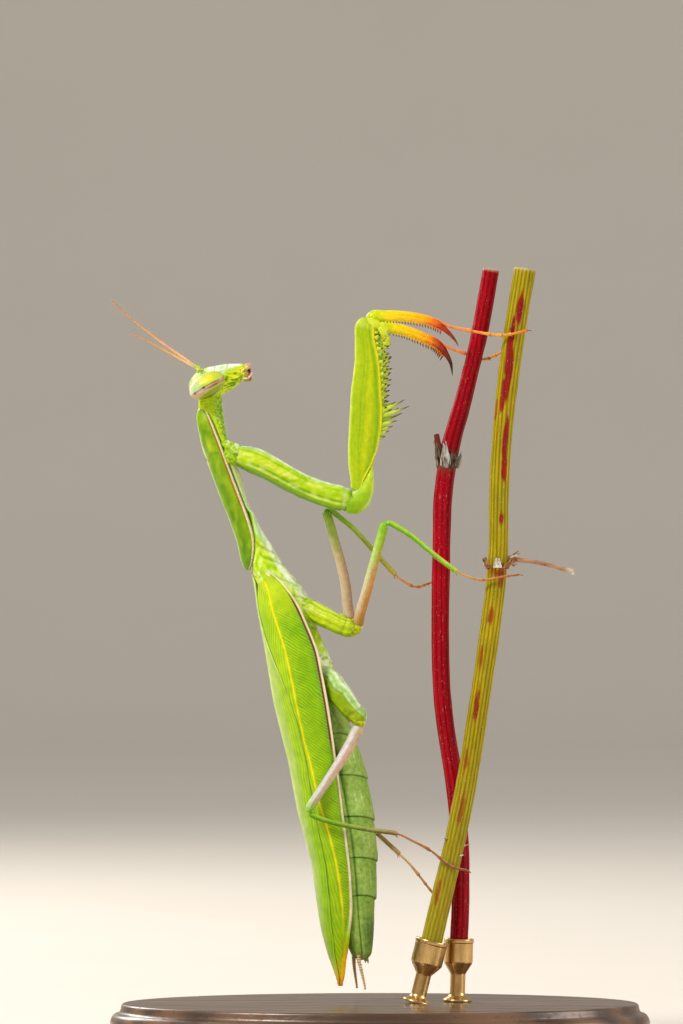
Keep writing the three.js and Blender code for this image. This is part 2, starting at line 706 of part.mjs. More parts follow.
// Half-sizes of the segments: `tall` is in the plane that the leg bends in.
const sizes = {
  fore: {
    coxa: {
      tall: evenly(1.35, 1.4, 1.2, 1.3, 1.55),
      wide: evenly(1.2, 1.15, 0.95, 0.95, 1.0),
      sides: 10,
      rings: 9,
    },
    femur: {
      tall: evenly(0.95, 1.15, 1.55, 1.8, 1.5, 1.15),
      wide: evenly(0.8, 0.95, 1.05, 1.1, 0.95, 0.8),
      sides: 10,
      rings: 10,
    },
    tibia: {
      tall: evenly(0.6, 0.62, 0.62, 0.42),
      wide: evenly(0.5, 0.45, 0.42, 0.32),
      sides: 8,
      rings: 9,
    },
    claw: { tall: evenly(0.42, 0.32, 0.18), wide: evenly(0.32, 0.28, 0.18), sides: 6, rings: 7 },
  },
  mid: {
    coxa: { tall: evenly(1.3, 1.1, 1.1), wide: evenly(1.1, 0.95, 0.95), sides: 10, rings: 8 },
    femur: {
      tall: evenly(0.62, 0.56, 0.5, 0.55),
      wide: evenly(0.55, 0.5, 0.45, 0.48),
      sides: 8,
      rings: 8,
    },
    tibia: {
      tall: evenly(0.36, 0.29, 0.28, 0.32),
      wide: evenly(0.34, 0.28, 0.27, 0.3),
      sides: 6,
      rings: 8,
    },
  },
  hind: {
    coxa: { tall: evenly(1.4, 1.25, 1.1, 0.85), wide: evenly(1.2, 1.05, 0.95, 0.8), sides: 10, rings: 8 },
    femur: {
      tall: evenly(0.72, 0.6, 0.5, 0.52),
      wide: evenly(0.62, 0.55, 0.46, 0.48),
      sides: 8,
      rings: 8,
    },
    tibia: {
      tall: evenly(0.34, 0.28, 0.27, 0.3),
      wide: evenly(0.32, 0.27, 0.26, 0.28),
      sides: 6,
      rings: 8,
    },
  },
};

// The direction that a segment's `tall` half-size faces.
const faces = { coxa: UP, femur: new THREE.Vector3(-1, 0, 0), tibia: UP, foot: UP };

// The fore femur's row of long spines, on the side that the tibia closes on.
function femurSpines(path) {
  const curve = new THREE.CatmullRomCurve3(path.map((p) => new THREE.Vector3(...p)));
  const lengths = [1.1, 1.5, FORE_SPINE_LENGTH, 1.9, 1.3, 1.1, 1.0];
  return lengths.map((length, i) => {
    const t = 0.38 + 0.075 * i;
    const foot = curve.getPointAt(t).addScaledVector(BELLY, 0.9);
    foot.y = path[0][1] + (i % 2 ? 0.35 : -0.35);
    return spine(foot, new THREE.Vector3(1, 0, -0.05 + 0.05 * i), length + 0.9, 0.3);
  });
}

for (const [leg, parts] of Object.entries(legs)) {
  const pair = leg.split("_")[0];
  const done = [];
  let joint = [];
  for (const part of ["coxa", "femur", "tibia", "foot"]) {
    const path = [...joint, ...parts[part]];
    joint = path.slice(-1);
    const spec = { ...thread(path, FOOT_RADIUS), ...sizes[pair][part], towards: faces[part] };
    const node = part === "foot" ? "tarsus" : part;
    const more = [];
    if (pair === "fore" && part === "femur") more.push(...femurSpines(path));
    if (pair === "fore" && part === "tibia") {
      more.push(solid(limb({ path: parts.claw, towards: UP, ...sizes.fore.claw })));
    }
    const near = [...trunkNodes, ...stemNodes, ...done];
    add(`${leg}_${node}`, paint(legColour(pair, node), 0.4), (grow) => limb(spec, grow), near, more);
    done.push(`${leg}_${node}`);
  }
}

export default mantis;
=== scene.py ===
import math

import bpy
import numpy as np
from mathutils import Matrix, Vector


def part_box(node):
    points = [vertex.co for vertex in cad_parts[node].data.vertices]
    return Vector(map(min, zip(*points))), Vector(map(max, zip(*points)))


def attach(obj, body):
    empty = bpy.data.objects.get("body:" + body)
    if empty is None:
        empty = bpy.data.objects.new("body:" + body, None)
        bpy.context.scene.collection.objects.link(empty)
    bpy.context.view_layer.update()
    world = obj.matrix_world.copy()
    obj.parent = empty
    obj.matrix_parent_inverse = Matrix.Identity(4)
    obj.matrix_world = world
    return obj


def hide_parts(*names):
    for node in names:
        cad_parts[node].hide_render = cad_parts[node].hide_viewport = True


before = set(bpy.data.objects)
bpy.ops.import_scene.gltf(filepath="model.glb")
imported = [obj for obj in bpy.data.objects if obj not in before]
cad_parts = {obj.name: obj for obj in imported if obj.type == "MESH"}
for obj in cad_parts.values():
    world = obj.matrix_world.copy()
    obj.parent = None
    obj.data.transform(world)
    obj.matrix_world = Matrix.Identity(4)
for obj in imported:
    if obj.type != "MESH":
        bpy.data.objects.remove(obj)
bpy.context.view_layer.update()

# A praying mantis on two cut stems. Lengths here are in millimetres; mesh data goes out in metres.

rng = np.random.default_rng(11)
TAU = 2 * math.pi
UP = np.array([0.0, 0.0, 1.0])
NEAR = np.array([0.0, -1.0, 0.0])
LEFT = np.array([-1.0, 0.0, 0.0])
# The trunk is turned a little from square to the view. SIDE points to its right and BACK out of its back.
TURN = math.radians(20)
SIDE = np.array([math.sin(TURN), -math.cos(TURN), 0.0])
BACK = np.array([-math.cos(TURN), -math.sin(TURN), 0.0])

# ---------------------------------------------------------------- measuring the frame

_triangles = {}


def corners(node):
    """A node's lowest and highest corner in mm."""
    return [np.array(c) * 1000 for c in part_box(node)]


def middle_of(node):
    return np.mean(corners(node), axis=0)


def triangles(node):
    if node not in _triangles:
        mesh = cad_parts[node].data
        mesh.calc_loop_triangles()
        spots = np.empty(len(mesh.vertices) * 3)
        mesh.vertices.foreach_get("co", spots)
        index = np.empty(len(mesh.loop_triangles) * 3, np.int32)
        mesh.loop_triangles.foreach_get("vertices", index)
        _triangles[node] = spots.reshape(-1, 3)[index.reshape(-1, 3)] * 1000
    return _triangles[node]


def cut(node, point, normal):
    """Points where a node's surface meets a plane."""
    t = triangles(node)
    d = (t - point) @ normal
    found = []
    for i, j in ((0, 1), (1, 2), (2, 0)):
        m = d[:, i] * d[:, j] < 0
        f = (d[m, i] / (d[m, i] - d[m, j]))[:, None]
        found.append(t[m, i] + (t[m, j] - t[m, i]) * f)
    return np.concatenate(found)


def unit(v):
    v = np.asarray(v, float)
    return v / np.linalg.norm(v, axis=-1, keepdims=True)


def spread(values, passes=2):
    """A running mean along the first axis that holds its ends."""
    v = np.array(values, float)
    for _ in range(passes):
        inner = (v[:-2] + 2 * v[1:-1] + v[2:]) / 4
        v = np.concatenate([v[:1], inner, v[-1:]])
    return v


def columns_at(s, reach, values):
    """Each column of values, read at the places s."""
    return np.stack([np.interp(s, reach, column) for column in np.transpose(values)], 1)


def lengths(line):
    """How far along a line each of its points lies."""
    return np.r_[0, np.cumsum(np.linalg.norm(np.diff(line, axis=0), axis=1))]


def along(points, count):
    """Points spaced evenly on a smooth curve through the given ones."""
    p = np.asarray(points, float)
    e = np.vstack([2 * p[0] - p[1], p, 2 * p[-1] - p[-2]])
    u = np.linspace(0, 1, 24, endpoint=False)[:, None]
    dense = []
    for a, b, c, d in zip(e, e[1:], e[2:], e[3:]):
        square, cube = 2 * a - 5 * b + 4 * c - d, 3 * b - a - 3 * c + d
        dense.append(0.5 * (2 * b + (c - a) * u + square * u**2 + cube * u**3))
    dense = np.vstack([*dense, p[-1:]])
    reach = lengths(dense)
    return columns_at(np.linspace(0, reach[-1], count), reach, dense)


def middle_line(node, axis, count=11, trim=0.04, start=None):
    """A slender node's middle line, from cuts square to one axis (0, 1 or 2).

    It begins at the end nearer start, or at the lower one.
    """
    low, high = corners(node)
    line = []
    for f in np.linspace(trim, 1 - trim, count):
        found = cut(node, low + (high - low) * f, np.eye(3)[axis])
        line.append((found.min(0) + found.max(0)) / 2)
    line = spread(line, 1)
    if start is not None and np.linalg.norm(line[0] - start) > np.linalg.norm(line[-1] - start):
        line = line[::-1]
    return line


def frames(line, towards):
    """Tangents, and the two arms of each ring: n the way of towards, b across."""
    t = unit(np.gradient(line, axis=0))
    n = unit(towards - (t @ towards)[:, None] * t)
    return t, n, np.cross(t, n)


def half_sizes(node, line, towards, count=9):
    """Half-sizes of a node along its middle line: places from 0 to 1, size along n, size along b."""
    farthest, margin = 4, 1.03
    line = along(line, count + 2)
    sizes = []
    for p, ti, ni, bi in list(zip(line, *frames(line, towards)))[1:-1]:
        found = cut(node, p, ti) - p
        found = found[np.linalg.norm(found, axis=1) < farthest]
        sizes.append([np.ptp(found @ arm) / 2 * margin for arm in (ni, bi)])
    return np.linspace(0, 1, count + 2)[1:-1], *np.transpose(sizes)


# ---------------------------------------------------------------- small tools


def clip(x):
    """x held between 0 and 1."""
    return np.clip(x, 0, 1)


def step(low, high, x):
    """0 at low, 1 at high, and a smooth change between. low may be the larger."""
    u = clip((np.asarray(x, float) - low) / (high - low))
    return u * u * (3 - 2 * u)


def hill(middle, half, x):
    """1 at the middle, 0 a half-width away."""
    return step(half, 0, np.abs(x - middle))


def bell(x, width):
    """1 where x is 0, fading smoothly over about the width."""
    return np.exp(-((x / width) ** 2))


def folded(a):
    """An angle folded to run from 0 to pi on either side."""
    return np.abs((a + math.pi) % TAU - math.pi)


def circle(count):
    return np.linspace(0, TAU, count, endpoint=False)


def waves(a, exponent):
    """An angle's cosine and sine, raised to a power to make a circle squarer or leaner."""
    return [np.sign(w) * np.abs(w) ** exponent for w in (np.cos(a), np.sin(a))]


def grid(rows, columns):
    return np.broadcast_arrays(rows[:, None], columns[None, :])


def stacked(*parts):
    """Points from their three coordinates."""
    return np.stack(np.broadcast_arrays(*parts), -1)


def rounding(near, length, least=0.0):
    """How full a body with a rounded end is at a distance from that end."""
    q = clip(1 - near / length)
    return np.sqrt(np.maximum(1 - q * q, least))


def noise(p, size, seed=0):
    """Smooth noise from -1 to 1, with bumps about size mm wide."""
    q = np.asarray(p, float) / size
    i = np.floor(q).astype(np.int64)
    f = q - i
    f = f * f * (3 - 2 * f)
    total = 0.0
    for corner in np.ndindex(2, 2, 2):
        c = np.array(corner)
        h = (i + c) @ np.array([374761393, 668265263, 974634777]) + seed * 144269
        h = (h ^ (h >> 13)) * 1274126177
        h = (h ^ (h >> 16)) & 0xFFFF
        total = total + h / 65535 * np.prod(np.where(c == 1, f, 1 - f), axis=-1)
    return total * 2 - 1


def blots(p, size, seed, gain, lift=0.0):
    """Patches of noise from 0 to 1. More gain makes their edges harder, and more lift makes them larger."""
    return clip(gain * noise(p, size, seed) + lift)


def linear(colour):
    """A colour from a tuple of its 0 to 255 screen values. An array is one already."""
    if not isinstance(colour, tuple):
        return colour
    c = np.array(colour) / 255
    return np.where(c <= 0.04045, c / 12.92, ((c + 0.055) / 1.055) ** 2.4)


def mix(a, b, f):
    """Colour a towards colour b by f, where f may be an array."""
    f = np.asarray(f, float)[..., None]
    return linear(a) * (1 - f) + linear(b) * f


def layers(c, *coats):
    """Colour c under (colour, amount) coats, the last one on top."""
    for colour, amount in coats:
        c = mix(c, colour, amount)
    return c


def shaded(c, change):
    """Colour c made lighter or darker by a fraction."""
    return c * (1 + change)[..., None]


def blend_along(t, *stops):
    """A colour from (place, colour) stops."""
    places, colours = zip(*stops)
    channels = np.transpose([linear(colour) for colour in colours])
    return np.stack([np.interp(t, places, channel) for channel in channels], -1)


def grid_faces(rows, columns):
    """Quads of a tube's rings, which close on themselves."""
    i = np.arange(rows - 1)[:, None] * columns
    j = np.arange(columns)
    k = (j + 1) % columns
    return np.stack([i + j, i + k, i + k + columns, i + j + columns], -1).reshape(-1, 4)


def capped(rows, columns):
    """Faces of a closed tube: its rings, and a fan at each end round an extra vertex."""
    j = np.arange(columns)
    k = (j + 1) % columns
    pole, end = np.full(columns, rows * columns), (rows - 1) * columns
    return [grid_faces(rows, columns), np.stack([pole, k, j], 1), np.stack([pole + 1, end + j, end + k], 1)]


def volume(spots, faces):
    """The volume inside a closed surface, below 0 where its faces look inwards."""
    spots = spots - spots.mean(0)
    total = 0.0
    for f in faces:
        for k in range(1, f.shape[1] - 1):
            total += np.sum(spots[f[:, 0]] * np.cross(spots[f[:, k]], spots[f[:, k + 1]])) / 6
    return total


class Body:
    """Gathers closed surfaces into one mesh, with a colour for each vertex."""

    def __init__(self):
        self.spots, self.faces, self.colours, self.count = [], [], [], 0

    def add(self, rings, paint, poles=None):
        """A surface over rings of points, closed by a fan at each end and turned outwards."""
        paint = np.broadcast_to(linear(paint), rings.shape)
        poles = rings[[0, -1]].mean(1) if poles is None else poles
        spots = np.vstack([rings.reshape(-1, 3), poles])
        faces = capped(*rings.shape[:2])
        if volume(spots, faces) < 0:
            faces = [f[:, ::-1] for f in faces]
        self.spots.append(spots)
        self.colours.append(np.vstack([paint.reshape(-1, 3), paint[[0, -1]].mean(1)]))
        self.faces += [f + self.count for f in faces]
        self.count += len(spots)

    def make(self, name, material, slot, *nodes):
        """The mesh as one piece, which rides on root and stands for the nodes given."""
        spots = np.concatenate(self.spots)
        mesh = bpy.data.meshes.new(name)
        mesh.vertices.add(len(spots))
        mesh.vertices.foreach_set("co", (spots / 1000).astype(np.float32).ravel())
        sizes = np.concatenate([np.full(len(f), f.shape[1]) for f in self.faces])
        loops = np.concatenate([f.ravel() for f in self.faces])
        mesh.loops.add(len(loops))
        mesh.loops.foreach_set("vertex_index", loops.astype(np.int32))
        mesh.polygons.add(len(sizes))
        mesh.polygons.foreach_set("loop_start", np.r_[0, np.cumsum(sizes)[:-1]].astype(np.int32))
        mesh.polygons.foreach_set("use_smooth", np.ones(len(sizes), bool))
        mesh.update(calc_edges=True)
        mesh.validate()
        tint = mesh.attributes.new("tint", "FLOAT_COLOR", "POINT")
        colours = clip(np.concatenate(self.colours))
        # Saturated greens lose some green and blue, so that the room's light doesn't wash them out.
        rich = 1 - colours.min(1) / np.maximum(colours.max(1), 1e-3)
        colours[:, 2] *= 1 - 0.45 * rich**2
        colours[:, 1] *= 1 - 0.06 * rich
        rgba = np.c_[colours, np.ones(len(spots))]
        tint.data.foreach_set("color", rgba.astype(np.float32).ravel())
        piece = bpy.data.objects.new(name, mesh)
        bpy.context.scene.collection.objects.link(piece)
        mesh.materials.append(material)
        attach(piece, "root")
        if nodes:
            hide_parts(*nodes)


def sweep(body, line, towards, tall, wide, colour, relief=None, around=32, spacing=0.2, low=None, power=2.0,
          ends=(0.5, 0.5)):
    """A closed tube along a line.

    tall, wide and low are half-sizes at places from 0 to 1: numbers, or (places, values).
    tall lies the way of towards, low the other way, and wide across.
    relief(t, a, p) lifts the surface in mm, and colour(t, a, p) paints it.
    t is the place from 0 to 1, and a the angle from the way of towards.
    ends are the lengths of the rounded ends; 0 leaves a flat end.
    """
    length = lengths(along(line, 200))[-1]
    steps = max(int((length - sum(ends)) / spacing), 3)
    curve = np.linspace(0.06, math.pi / 2, 9)[:-1]
    first, last = (end * (1 - np.cos(curve)) if end else np.array([]) for end in ends)
    s = np.r_[first, np.linspace(ends[0], length - ends[1], steps), length - last[::-1]]
    fine = along(line, 600)
    reach = np.linspace(0, length, 600)
    _, n, b = frames(fine, towards)
    spots, n, b = (columns_at(s, reach, v) for v in (fine, n, b))
    n, b = unit(n), unit(b)
    t = s / length
    up, down, side = (
        np.interp(t, *given) if isinstance(given, tuple) else np.full(len(t), float(given))
        for given in (tall, tall if low is None else low, wide)
    )
    cap = np.ones(len(t))
    for near, end in ((s, ends[0]), (length - s, ends[1])):
        if end:
            cap *= rounding(near, end)
    a = circle(around)
    ca, sa = waves(a, 2 / power)
    x = np.where(ca > 0, up[:, None], down[:, None]) * ca
    y = side[:, None] * sa
    p = spots[:, None] + (n[:, None] * x[..., None] + b[:, None] * y[..., None]) * cap[:, None, None]
    tt, aa = grid(t, a)
    if relief is not None:
        lean_x, lean_y = (v / np.maximum(half, 1e-3)[:, None] ** 2 for v, half in ((x, up), (y, side)))
        out = unit(n[:, None] * lean_x[..., None] + b[:, None] * lean_y[..., None])
        p = p + out * (relief(tt, aa, p) * cap[:, None])[..., None]
    body.add(p, colour(tt, aa, p) if callable(colour) else colour)
    return spots


def thorn(body, foot, direction, length, radius, base_colour, tip_colour, bend=0.0, around=8, dark=0.6):
    """A curved pointed spine. bend is how far its tip leans aside, and dark where its tip colour begins."""
    direction = unit(direction)
    f = np.array([0, 0.08, 0.25, 0.5, 0.75, 0.92, 1.0])
    r = radius * np.array([1.25, 1.0, 0.82, 0.6, 0.34, 0.14, 0.04])
    line = foot + direction * (f * length)[:, None] + bend * (f**2)[:, None]
    any_way = np.array([0.31, 0.87, 0.38])
    _, n, b = frames(line, unit(np.cross(direction, any_way)))
    a = circle(around)[:, None]
    p = line[:, None] + r[:, None, None] * (n[:, None] * np.cos(a) + b[:, None] * np.sin(a))
    body.add(p, mix(base_colour, tip_colour, step(dark - 0.15, dark + 0.15, f))[:, None])


def bead(body, middle, axes, colour, relief=None, rows=14, around=20):
    """An ellipsoid. axes are its three half-axes as vectors, the first from pole to pole."""
    first = 0.08
    f = np.linspace(first, math.pi - first, rows)[:, None]
    a = circle(around)[None, :]
    x, y, z = np.cos(f) * np.ones_like(a), np.sin(f) * np.cos(a), np.sin(f) * np.sin(a)
    scale = 1 if relief is None else (1 + relief(x, y, z))[..., None]
    u, v, w = (np.asarray(k, float) for k in axes)
    p = middle + (x[..., None] * u + y[..., None] * v + z[..., None] * w) * scale
    body.add(p, colour(x, y, z, p) if callable(colour) else colour, [middle + u, middle - u])


# ---------------------------------------------------------------- materials


class Nodes:
    """A short way to wire a material. A value is a constant or another node's output."""

    def __init__(self, name):
        self.material = bpy.data.materials.new(name)
        self.material.use_nodes = True
        self.tree = self.material.node_tree
        self.shader = self.tree.nodes["Principled BSDF"]

    def put(self, socket, value):
        if isinstance(value, bpy.types.NodeSocket):
            self.tree.links.new(value, socket)
        else:
            socket.default_value = value

    def node(self, kind, output=0, **settings):
        """A new node's output. A setting that begins with in_ is an input, by its number or name."""
        made = self.tree.nodes.new("ShaderNode" + kind)
        for key, value in settings.items():
            if key.startswith("in_"):
                key = key[3:]
                self.put(made.inputs[int(key) if key.isdigit() else key.replace("_", " ")], value)
            else:
                setattr(made, key, value)
        return made.outputs[output]

    def surface(self, **inputs):
        """Sets the shader's own inputs."""
        for key, value in inputs.items():
            self.put(self.shader.inputs[key.replace("_", " ")], value)

    def tint(self):
        return self.node("Attribute", "Color", attribute_name="tint")

    def ramp(self, value, low, high, to_low=0.0, to_high=1.0):
        return self.node("MapRange", in_0=value, in_1=low, in_2=high, in_3=to_low, in_4=to_high)

    def plus(self, a, b):
        return self.node("Math", operation="ADD", in_0=a, in_1=b)

    def coordinates(self, stretch=(1, 1, 1)):
        return self.node("Mapping", in_Vector=self.node("TexCoord", "Object"), in_Scale=stretch)

    def mottle(self, size, stretch=(1, 1, 1), detail=3.0, roughness=0.55):
        """Noise from 0 to 1 with features of size mm."""
        place = self.coordinates(stretch)
        return self.node(
            "TexNoise", in_Vector=place, in_Scale=1000 / size, in_Detail=detail, in_Roughness=roughness
        )

    def cells(self, size, stretch=(1, 1, 1)):
        """The distance from the middle of the nearest cell, where cells are size mm wide."""
        return self.node("TexVoronoi", "Distance", in_Vector=self.coordinates(stretch), in_Scale=1000 / size)

    def blend(self, a, b, factor, kind="MIX"):
        a, b = (v if isinstance(v, bpy.types.NodeSocket) else (*v, 1.0) for v in (a, b))
        return self.node("Mix", 2, data_type="RGBA", blend_type=kind, in_0=factor, in_6=a, in_7=b)

    def times(self, a, b):
        return self.blend(a, b, 1.0, "MULTIPLY")

    def bumps(self, *heights):
        """Bump from (height, depth in mm) pairs."""
        below = {}
        for height, depth in heights:
            bump = self.node("Bump", in_Height=height, in_Strength=1.0, in_Distance=depth / 1000, **below)
            below = {"in_Normal": bump}
        self.surface(Normal=bump)


def cuticle(name, rough=0.42, vary=0.09, size=0.7, pore=0.07, depth=0.012, dimple=0.16, glow=0.12, coat=0.0):
    """Painted insect cuticle: mottled colour, pores, a waxy bloom and a little light through it."""
    m = Nodes(name)
    tint = m.tint()
    broad = m.mottle(size)
    fine = m.mottle(pore, detail=2.0)
    dark = m.times(tint, (1 - 2.0 * vary, 1 - 1.4 * vary, 1 - 2.2 * vary))
    light = m.times(tint, (1 + 0.6 * vary, 1 + 0.4 * vary, 1 + 0.9 * vary))
    colour = m.blend(dark, light, m.ramp(broad, 0.3, 0.66))
    m.surface(
        Base_Color=m.blend(colour, (1.0, 1.0, 0.86), m.ramp(fine, 0.6, 0.8, 0.0, 0.07)),
        Roughness=m.plus(
            m.ramp(broad, 0.3, 0.7, rough - 0.07, rough + 0.07), m.ramp(fine, 0.3, 0.7, -0.06, 0.06)
        ),
        Subsurface_Weight=glow,
        Subsurface_Radius=(0.9, 1.0, 0.25),
        Subsurface_Scale=0.0005,
        Specular_IOR_Level=0.17,
    )
    m.bumps((m.cells(dimple), depth * 0.8), (fine, depth))
    if coat:
        m.surface(Coat_Weight=coat, Coat_Roughness=0.16)
    return m.material


skin_material = cuticle("skin")
leg_material = cuticle("leg_skin", rough=0.4, size=0.5)
shield_material = cuticle("shield", rough=0.36, size=0.9, dimple=0.22, depth=0.016)
wing_material = cuticle("forewing", vary=0.12, size=1.2, pore=0.06, depth=0.008, dimple=0.2, glow=0.2)
belly_material = cuticle("abdomen", rough=0.5, vary=0.2, size=0.5, dimple=0.12, depth=0.016)
claw_material = cuticle(
    "spines", rough=0.26, vary=0.12, size=0.4, pore=0.05, depth=0.004, glow=0.15, coat=0.25
)
feeler_material = cuticle("feelers", rough=0.45, vary=0.15, size=0.3, pore=0.04, depth=0.006)

# ---------------------------------------------------------------- colours, as screen values

BRIGHT = (186, 218, 24)
MINT = (206, 230, 188)
PALE = (216, 226, 190)
WHITE = (238, 244, 226)
YELLOW = (232, 214, 8)


# ---------------------------------------------------------------- trunk

ORIGIN = np.array([0.0, np.mean([middle_of(f"cercus_{side}")[1] for side in ("right", "left")]), 0.0])


def level(node, z):
    """A node's reach at a height: lowest and highest along SIDE, then along BACK."""
    p = cut(node, np.array([0, 0, z]), UP) - ORIGIN
    s, b = p @ SIDE, p @ BACK
    return s.min(), s.max(), b.min(), b.max()


def levels(*stretches):
    """Smoothed reach of several nodes in turn, top first, as a function of height.

    The stretches are (node, trim at its top, trim at its bottom).
    """
    places, found = [], []
    for node, off_top, off_bottom in stretches:
        low, high = corners(node)
        for z in np.arange(high[2] - off_top, low[2] + off_bottom, -0.4):
            places.append(z)
            found.append(level(node, z))
    places, found = np.array(places), spread(found, 6)
    return lambda z: np.stack([np.interp(z, places[::-1], found[::-1, k]) for k in range(4)], -1)


def at(s, b, z):
    """A point from its sideways, backward and height places."""
    return ORIGIN + stacked(s, b, z) @ np.array([SIDE, BACK, UP])


def loft(body, reach, z, middle, power, colour, relief, around, tops):
    """A closed body of slices at the heights z, with rounded ends as long as tops.

    middle is where the widest line lies, from 0 at the belly to 1 at the back.
    """
    low_s, high_s, low_b, high_b = reach(z).T[:, :, None]
    wide = (high_s - low_s) / 2 * 1.02
    centre = low_b + (high_b - low_b) * middle(z)[:, None]
    zz, aa = grid(z, circle(around))
    ca, sa = waves(aa, 2 / power(z)[:, None])
    cap = (rounding(z[0] - z, tops[0], 0.002) * rounding(z - z[-1], tops[1], 0.002))[:, None]
    lift = relief(zz, aa)
    db = (np.where(ca > 0, high_b - centre, centre - low_b) + lift) * ca * cap
    ds = (wide + lift) * sa * cap
    p = at((low_s + high_s) / 2 + ds, centre + db, zz)
    body.add(p, colour(zz, aa, p))


trunk_levels = levels(
    ("neck", 1.1, 0.6), ("prothorax", 0.6, 2.4), ("thorax", 2.2, 0.5), ("abdomen", 0.5, 0.2)
)
neck_top = corners("neck")[1][2]
waist = corners("abdomen")[1][2]

# The belly side's reach by height, which the CAD follows in steps, and how much the back is drawn out.
FRONT = np.transpose([
    (51, 7.73), (52, 8.59), (53, 9.44), (54, 10.12), (55, 10.72), (56, 11.32), (57, 11.97), (58, 12.64),
    (59, 13.2), (60, 13.6), (61, 13.88), (62, 14.12), (63, 14.32), (64, 14.62), (65, 15.05), (66, 15.46),
    (67, 15.76), (68, 16.02), (69, 16.17), (70, 16.21), (72, 16.27),
])
BACK_FIX = ([47, 48, 50, 51, 52, 53, 54, 55, 57], [0, 0.15, 0.45, 0.7, 0.85, 0.85, 0.7, 0.1, 0])
# Oblique grooves of the thorax: height, the angles from the back where one begins and ends, and its slope.
GROOVES = [
    (56.2, 1.0, 2.6, -0.9), (55.0, 1.1, 2.9, -1.0), (53.2, 0.9, 2.4, -1.3), (50.6, 1.3, 3.1, -0.7),
    (49.4, 0.8, 2.4, -1.5), (47.2, 1.2, 3.1, -0.5), (45.0, 0.9, 2.7, -1.2), (42.6, 1.0, 3.1, -0.6),
    (40.8, 1.2, 2.8, -1.0),
]


def trunk_reach(z):
    """The trunk's reach, with the soft neck drawn out behind the head."""
    found = trunk_levels(z)
    own = step(50.5, 52.0, z) * step(72.5, 71.0, z)
    nape = step(neck_top - 3.0, neck_top - 1.4, z)
    found[..., 2] = own * np.interp(z, *FRONT) + (1 - own) * found[..., 2]
    found[..., 3] += np.interp(z, *BACK_FIX) + 0.65 * nape
    found[..., 0] -= 0.12 * nape
    return found


def thorax_grooves(z, d):
    """1 along the grooves and 0 away from them."""
    total = 0.0
    for z0, d0, d1, slope in GROOVES:
        off = z - z0 - slope * (d - d0)
        total += bell(off, 0.19) * step(d0 - 0.1, d0 + 0.15, d) * step(d1 + 0.1, d1 - 0.15, d)
    return total


def trunk_relief(z, a):
    d = folded(a)
    p = stacked(z, 2 * np.cos(a), 2 * np.sin(a))
    rear = step(57.5, 56.0, z)
    coarse = 0.06 * noise(p, 1.7, 3) + 0.035 * noise(p, 0.7, 4)
    plates = coarse + 0.05 * noise(p * [0.55, 1, 1], 0.42, 17) * rear
    wrinkles = 0.02 * np.sin(TAU * (z + 0.12 * noise(p, 0.8, 5)) / 0.34) * step(68.0, 70.0, z)
    bumps = 0.1 * np.maximum(noise(p, 0.3, 6), 0) ** 1.5 * step(64.5, 66.5, z) * step(1.2, 2.0, d)
    seam = -0.07 * bell(math.pi - d, 0.1) * step(66, 64, z)
    ridge = 0.14 * bell(d - 2.35, 0.2) * rear
    grooves = 0.08 * thorax_grooves(z, d) * rear
    return plates * (0.35 + 0.65 * rear) + wrinkles + bumps + seam - grooves + ridge


def trunk_colour(z, a, p):
    d = folded(a)
    n = noise(p, 1.1, 8)
    front = step(64.0, 67.5, z)
    rear = step(57.5, 55.5, z)
    # Painted highlights: the next two masks lay a mint band and a near-white band along the belly-side
    # contour of the thorax, standing for light catching that edge.
    strip = (1 - front) * step(0.95 + 1.1 * rear, 1.25 + 1.1 * rear, d) * step(45.0, 50.0, z)
    white_contour_highlight = (1 - front) * step(1.82, 2.12, d) * step(47.0, 52.0, z)
    hind_flank = 0.8 * step(1.5, 2.0, d)
    # Painted shade in the thorax's oblique grooves, and a painted highlight on the raised strip just below
    # each groove.
    grooves = clip(thorax_grooves(z, d))
    groove_ridge_highlight = clip(thorax_grooves(z + 0.42, d))
    c = mix((146, 196, 16), BRIGHT, 0.45 + 0.45 * n)
    c = layers(
        c,
        (mix((178, 224, 20), (218, 240, 48), 0.5 + 0.5 * n), rear),
        (mix(BRIGHT, YELLOW, 0.1), front * step(2.4, 1.2, d) * 0.75),
        ((108, 160, 12), front * step(1.3, 2.0, d) * blots(p * [1, 1, 1.6], 0.22, 16, 1.6, 0.3)),
        # Painted highlights along the belly-side contour: a mint band, then a near-white band.
        (mix((186, 224, 166), (214, 230, 166), step(59.0, 62.5, z)), strip * (0.85 + 0.15 * n)),
        ((250, 252, 238), white_contour_highlight * (0.85 + 0.15 * n)),
        ((222, 238, 190), 0.6 * rear * blots(p * [1, 1, 0.5], 0.4, 11, 2.6, -0.25)),
        ((128, 184, 24), 0.55 * rear * blots(p * [1, 1, 0.5], 0.4, 11, -2.6, -0.2)),
        # Painted highlight below each groove, then painted shade in the grooves.
        ((210, 230, 110), 0.5 * rear * groove_ridge_highlight),
        ((104, 162, 14), 0.5 * rear * grooves),
        ((232, 240, 222), hind_flank * hill(43.2, 1.9, z) * blots(p, 0.4, 19, 1.4, 0.5)),
        ((92, 128, 84), hind_flank * hill(43.0, 1.7, z) * blots(p * [1, 1, 2], 0.35, 20, -2.2, -0.5)),
        (WHITE, 0.6 * front * step(1.4, 2.1, d) * blots(p, 0.22, 10, 2.4, -1.0)),
        ((66, 112, 14), 0.8 * front * step(1.7, 2.3, d) * blots(p, 0.24, 12, -2.6, -0.7)),
    )
    return shaded(c, 0.07 * noise(p, 0.35, 9))


skin = Body()
loft(
    skin,
    trunk_reach,
    np.arange(neck_top + 0.5, waist - 0.6, -0.09),
    lambda z: np.interp(z, [waist, 50, 57, 70, neck_top], [0.55, 0.6, 0.72, 0.72, 0.5]),
    lambda z: np.interp(z, [waist, 57, 71], [2.1, 2.0, 2.1]),
    trunk_colour,
    trunk_relief,
    around=128,
    tops=(0.5, 2.0),
)

